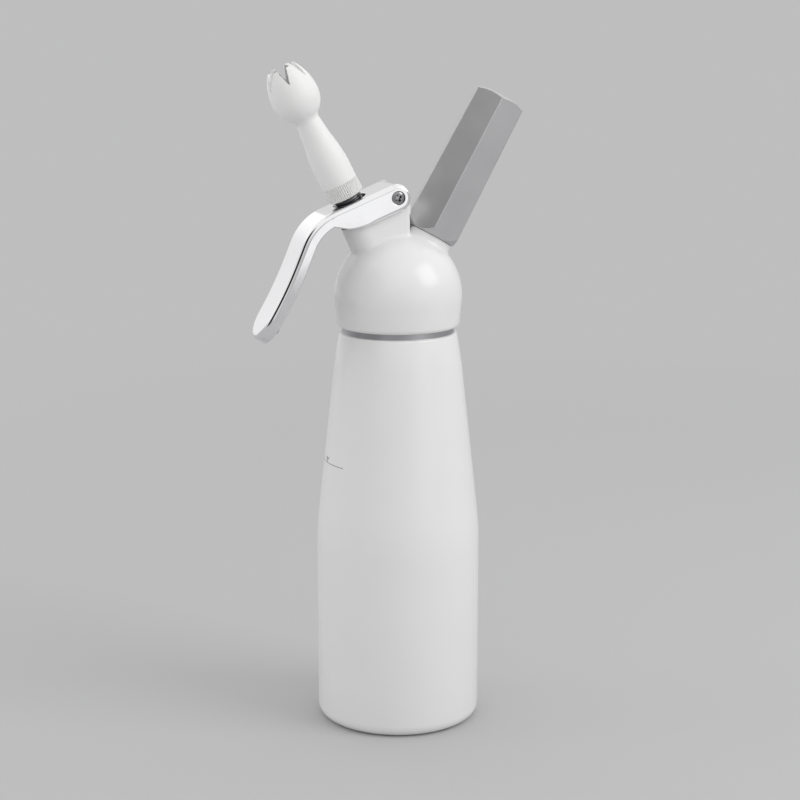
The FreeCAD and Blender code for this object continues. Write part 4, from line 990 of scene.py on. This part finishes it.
# %% rubber
BLOOM_SIZE = 3.0
SKIN_DEPTH = 0.01 * MM


def nitrile_rubber(name):
    finish, tree, place = new_finish(name)
    bloom = add(tree, "ShaderNodeTexNoise", {"Scale": per_metre(BLOOM_SIZE), "Detail": 5.0}, {"Vector": place})
    colour = add(tree, "ShaderNodeMix", {"data_type": "RGBA", 6: linear("#1B1B1C"), 7: linear("#262627")},
                 {0: bloom})
    rough = add(tree, "ShaderNodeMapRange", {"To Min": 0.62, "To Max": 0.8}, {"Value": bloom})
    bump = add(tree, "ShaderNodeBump", {"Strength": 0.3, "Distance": SKIN_DEPTH}, {"Height": bloom})
    return finished(finish, {"IOR": 1.52}, {"Base Color": colour.outputs[2], "Roughness": rough, "Normal": bump})


seal_rubber = nitrile_rubber("black_nitrile_rubber")

# %% [markdown]
# ## Zinc plated steel
#
# The charger is a steel cartridge with a thin coat of zinc, which shows as faint pale and dark flecks of crystal
# a few millimetres across. A Voronoi texture has such cells.

# %% zinc plating
CRYSTAL_SIZE = 2.5


def zinc_plate(name):
    finish, tree, place = new_finish(name)
    crystals = add(tree, "ShaderNodeTexVoronoi", {"Scale": per_metre(CRYSTAL_SIZE)}, {"Vector": place})
    fleck = add(tree, "ShaderNodeSeparateColor", links={0: crystals.outputs["Color"]})
    colour = add(tree, "ShaderNodeMix", {"data_type": "RGBA", 6: linear("#9A9DA1"), 7: linear("#B4B7BA")},
                 {0: fleck})
    rough = add(tree, "ShaderNodeMapRange", {"To Min": 0.3, "To Max": 0.42}, {"Value": fleck})
    return finished(finish, {"Metallic": 1.0}, {"Base Color": colour.outputs[2], "Roughness": rough})


charger_zinc = zinc_plate("zinc_plated_steel")

# %% [markdown]
# ## The works inside
#
# The valve's parts show between lever and nozzle, and the port's parts once the holder is off. They are turned
# parts, moulded seals and the charger, and their solids have every edge that they need, threads included. Each
# gets a merged copy with its own finish, in one loop. The adapter that carries the nozzle gets the darkest of
# the metals, which is painted shade: its steel is darkened so that the hole under the nozzle reads dark.

# %% valve, port and charger parts
INNER_PARTS = {
    "head_gasket": ("seal_rubber", seal_rubber),
    "valve_stem": ("steel", valve_steel),
    "valve_seal": ("seal_rubber", seal_rubber),
    "stem_seal": ("seal_rubber", seal_rubber),
    "valve_guide": ("brass", valve_brass),
    # painted shade: the adapter's darkened steel stands in for the shade in the hole under the nozzle
    "nozzle_adapter": ("steel", painted_shade_steel),
    "adapter_gasket": ("seal_rubber", seal_rubber),
    "charger_port": ("brass", port_brass),
    "port_gasket": ("seal_rubber", seal_rubber),
    "piercing_pin": ("steel", port_steel),
    "pin_filter": ("brass", port_brass),
    "check_valve": ("seal_rubber", seal_rubber),
    "gas_charger": ("charger_steel", charger_zinc),
    "charger_cap": ("steel", port_steel),
}
for node, (slot, finish) in INNER_PARTS.items():
    stands_for(copy_of(node, node + "_made"), node, slot, finish)

# %% [markdown]
# ## The spring
#
# The spring closes the valve: when the lever is squeezed, the adapter comes down on it and it shortens. Its
# merged copy gets the valve's steel and a mesh of its own. The copy is rigid, and a rigid coil would poke through
# the adapter as the valve goes down.

# %% the spring
spring = stands_for(copy_of("valve_spring", "valve_spring_made"), "valve_spring", "steel", valve_steel)
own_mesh(spring)

# %% [markdown]
# ## The floor and what is behind it
#
# A white object needs surroundings that are a little darker than itself, or its outline is lost. The floor is
# pale grey paper. Far from the object it fades into the colour of the backdrop, so no horizon shows. Only the
# camera, and what it sees in a mirror, sees that colour: the light that falls on the object is set apart with
# the Light Path node.
#
# Chrome in an evenly pale room looks like pale paint. Polished metal reads as metal by its dark lines, which
# are what is dark around it. So mirrors, and mirrors alone, see a soft-edged dark patch on the left of the room.
# The rounded near edge of the lever gathers it into a thin line.

# %% floor and backdrop
FLOOR_RADIUS = 5.0
FIBRE_SIZE = 1.5
FIBRE_DEPTH = 0.02 * MM
FADE_START = 0.45
FADE_END = 1.05
PAPER = "#BEBEBF"
BACKDROP = "#BEBEBF"
SKY_LIGHT = 0.83
DARK_SIDE = Vector((-0.84, -0.29, 0.40))
DARK_INNER = 12.0
DARK_OUTER = 30.0
DARK_TONE = "#202021"


def seen(tree):
    """1 for rays from the camera or by way of a mirror or glass, 0 for rays that gather light."""
    path = add(tree, "ShaderNodeLightPath")
    direct = add(tree, "ShaderNodeMath", {"operation": "MAXIMUM"},
                 {0: path.outputs["Is Camera Ray"], 1: path.outputs["Is Glossy Ray"]})
    return add(tree, "ShaderNodeMath", {"operation": "MAXIMUM"},
               {0: direct, 1: path.outputs["Is Transmission Ray"]})


def paper_floor():
    bpy.ops.object.select_all(action="DESELECT")
    bpy.ops.mesh.primitive_circle_add(vertices=96, radius=FLOOR_RADIUS, fill_type="NGON")
    floor = bpy.context.object
    floor.name = "paper_floor"
    finish, tree, place = new_finish("pale_paper")
    fibres = add(tree, "ShaderNodeTexNoise", {"Scale": per_metre(FIBRE_SIZE), "Detail": 4.0}, {"Vector": place})
    bump = add(tree, "ShaderNodeBump", {"Strength": 0.15, "Distance": FIBRE_DEPTH}, {"Height": fibres})
    paper = add(tree, "ShaderNodeBsdfDiffuse", {"Color": linear(PAPER)}, {"Normal": bump})
    glow = add(tree, "ShaderNodeEmission", {"Color": linear(BACKDROP), "Strength": 1.0})
    away = add(tree, "ShaderNodeVectorMath", {"operation": "LENGTH"}, {0: place})
    fade = add(tree, "ShaderNodeMapRange", {"interpolation_type": "SMOOTHSTEP", "From Min": FADE_START,
                                            "From Max": FADE_END}, {"Value": away.outputs["Value"]})
    share = add(tree, "ShaderNodeMath", {"operation": "MULTIPLY"}, {0: fade, 1: seen(tree)})
    mixed = add(tree, "ShaderNodeMixShader", links={0: share, 1: paper, 2: glow})
    add(tree, "ShaderNodeOutputMaterial", links={"Surface": mixed})
    floor.data.materials.append(finish)
    floor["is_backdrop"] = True


def backdrop():
    """What is seen: the backdrop, brighter overhead and, in mirrors, dark on one side. What lights: an even sky."""
    world = bpy.data.worlds.new("studio")
    bpy.context.scene.world = world
    world.use_nodes = True
    tree = world.node_tree
    tree.nodes.clear()
    way = add(tree, "ShaderNodeTexCoord").outputs["Generated"]
    up = add(tree, "ShaderNodeSeparateXYZ", links={0: way}).outputs["Z"]
    overhead = add(tree, "ShaderNodeMapRange", {"interpolation_type": "SMOOTHSTEP", "From Min": 0.05,
                                                "From Max": 0.5}, {"Value": up})
    sky = add(tree, "ShaderNodeMix", {"data_type": "RGBA", 6: linear(BACKDROP), 7: linear("#FFFFFF")},
              {0: overhead})
    nearness = add(tree, "ShaderNodeVectorMath", {"operation": "DOT_PRODUCT", 1: DARK_SIDE.normalized()},
                   {0: way}).outputs["Value"]
    patch = add(tree, "ShaderNodeMapRange", {"interpolation_type": "SMOOTHSTEP",
                                             "From Min": math.cos(math.radians(DARK_OUTER)),
                                             "From Max": math.cos(math.radians(DARK_INNER))}, {"Value": nearness})
    glossy = add(tree, "ShaderNodeLightPath").outputs["Is Glossy Ray"]
    share = add(tree, "ShaderNodeMath", {"operation": "MULTIPLY"}, {0: patch, 1: glossy})
    sky = add(tree, "ShaderNodeMix", {"data_type": "RGBA", 7: linear(DARK_TONE)}, {0: share, 6: sky.outputs[2]})
    shown = add(tree, "ShaderNodeBackground", {"Strength": 1.0}, {"Color": sky.outputs[2]})
    light = add(tree, "ShaderNodeBackground", {"Color": linear("#FFFFFF"), "Strength": SKY_LIGHT})
    mixed = add(tree, "ShaderNodeMixShader", links={0: seen(tree), 1: light, 2: shown})
    add(tree, "ShaderNodeOutputWorld", links={"Surface": mixed})


paper_floor()
backdrop()
print("floor %.0f m across, gone %.2f m from the object" % (2 * FLOOR_RADIUS, FADE_END))

# %% [markdown]
# ## Light
#
# A large soft key lamp stands to the right and in front, so the shadow falls to the left and the right side of
# the ball is the brightest. Two weaker soft lamps are there for the chrome, which shows what stands around it:
# one in front, for the cheeks of the lever, and one behind on the left, for the outer face of the grip. A fourth
# lamp, on the left, brightens the white pieces on that side. No mirror shows it, or it would cover a part of the
# dark patch.

# %% lamps
AIM = Vector((0, 0, 0.16))


def soft_lamp(name, place, size, watts):
    """A rectangular soft lamp that looks at the object. Cameras don't see it, mirrors do."""
    data = bpy.data.lights.new(name, "AREA")
    data.shape = "RECTANGLE"
    data.size, data.size_y = size
    data.energy = watts
    lamp = bpy.data.objects.new(name, data)
    bpy.context.scene.collection.objects.link(lamp)
    lamp.location = place
    lamp.rotation_euler = (AIM - Vector(place)).to_track_quat("-Z", "Y").to_euler()
    lamp.visible_camera = False
    radiance = watts / (math.pi * size[0] * size[1])
    print("%s: %.1f W, radiance %.2f" % (name, watts, radiance))
    return lamp


soft_lamp("key", (0.95, -0.85, 1.05), (0.9, 0.9), 7.0)
soft_lamp("front", (0.58, -1.3, 0.24), (0.8, 0.46), 0.6)
soft_lamp("left_rim", (-1.15, 0.4, 0.4), (0.6, 0.8), 1.5).visible_glossy = False
soft_lamp("back_left", (-0.42, 1.15, 0.42), (0.9, 0.8), 0.85)

# %% [markdown]
# ## The camera
#
# The camera stands 0.9 m away, a little to the lever's side, above the top of the object and tilted down by about
# 12 degrees. From that far the flask's sides look nearly parallel, and a long lens fills the picture.

# %% camera
CAMERA_PLACE = Vector((-0.2766, -0.8512, 0.3415))
CAMERA_TILT = 11.83
CAMERA_TURN = -18.063
CAMERA_LENS = 87.3
camera_data = bpy.data.cameras.new("camera")
camera = bpy.data.objects.new("camera", camera_data)
bpy.context.scene.collection.objects.link(camera)
camera_data.sensor_width = 36.0
camera_data.lens = CAMERA_LENS
camera.location = CAMERA_PLACE
camera.rotation_euler = (math.radians(90 - CAMERA_TILT), 0, math.radians(CAMERA_TURN))
bpy.context.scene.camera = camera
bpy.context.scene.view_settings.view_transform = "Standard"
print("camera %.2f m from the flask's axis" % CAMERA_PLACE.to_2d().length)

# %% [markdown]
# ## Measure and finish
#
# The dressed object has to fill the same box as the engineering model. Both boxes are printed.

# %% sizes and the end
dressed_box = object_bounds()
boxes = {"cad": [list(corner) for corner in cad_box], "visual": [list(corner) for corner in dressed_box]}
for name, (low, high) in boxes.items():
    print(name, [round((b - a) / MM, 2) for a, b in zip(low, high)])
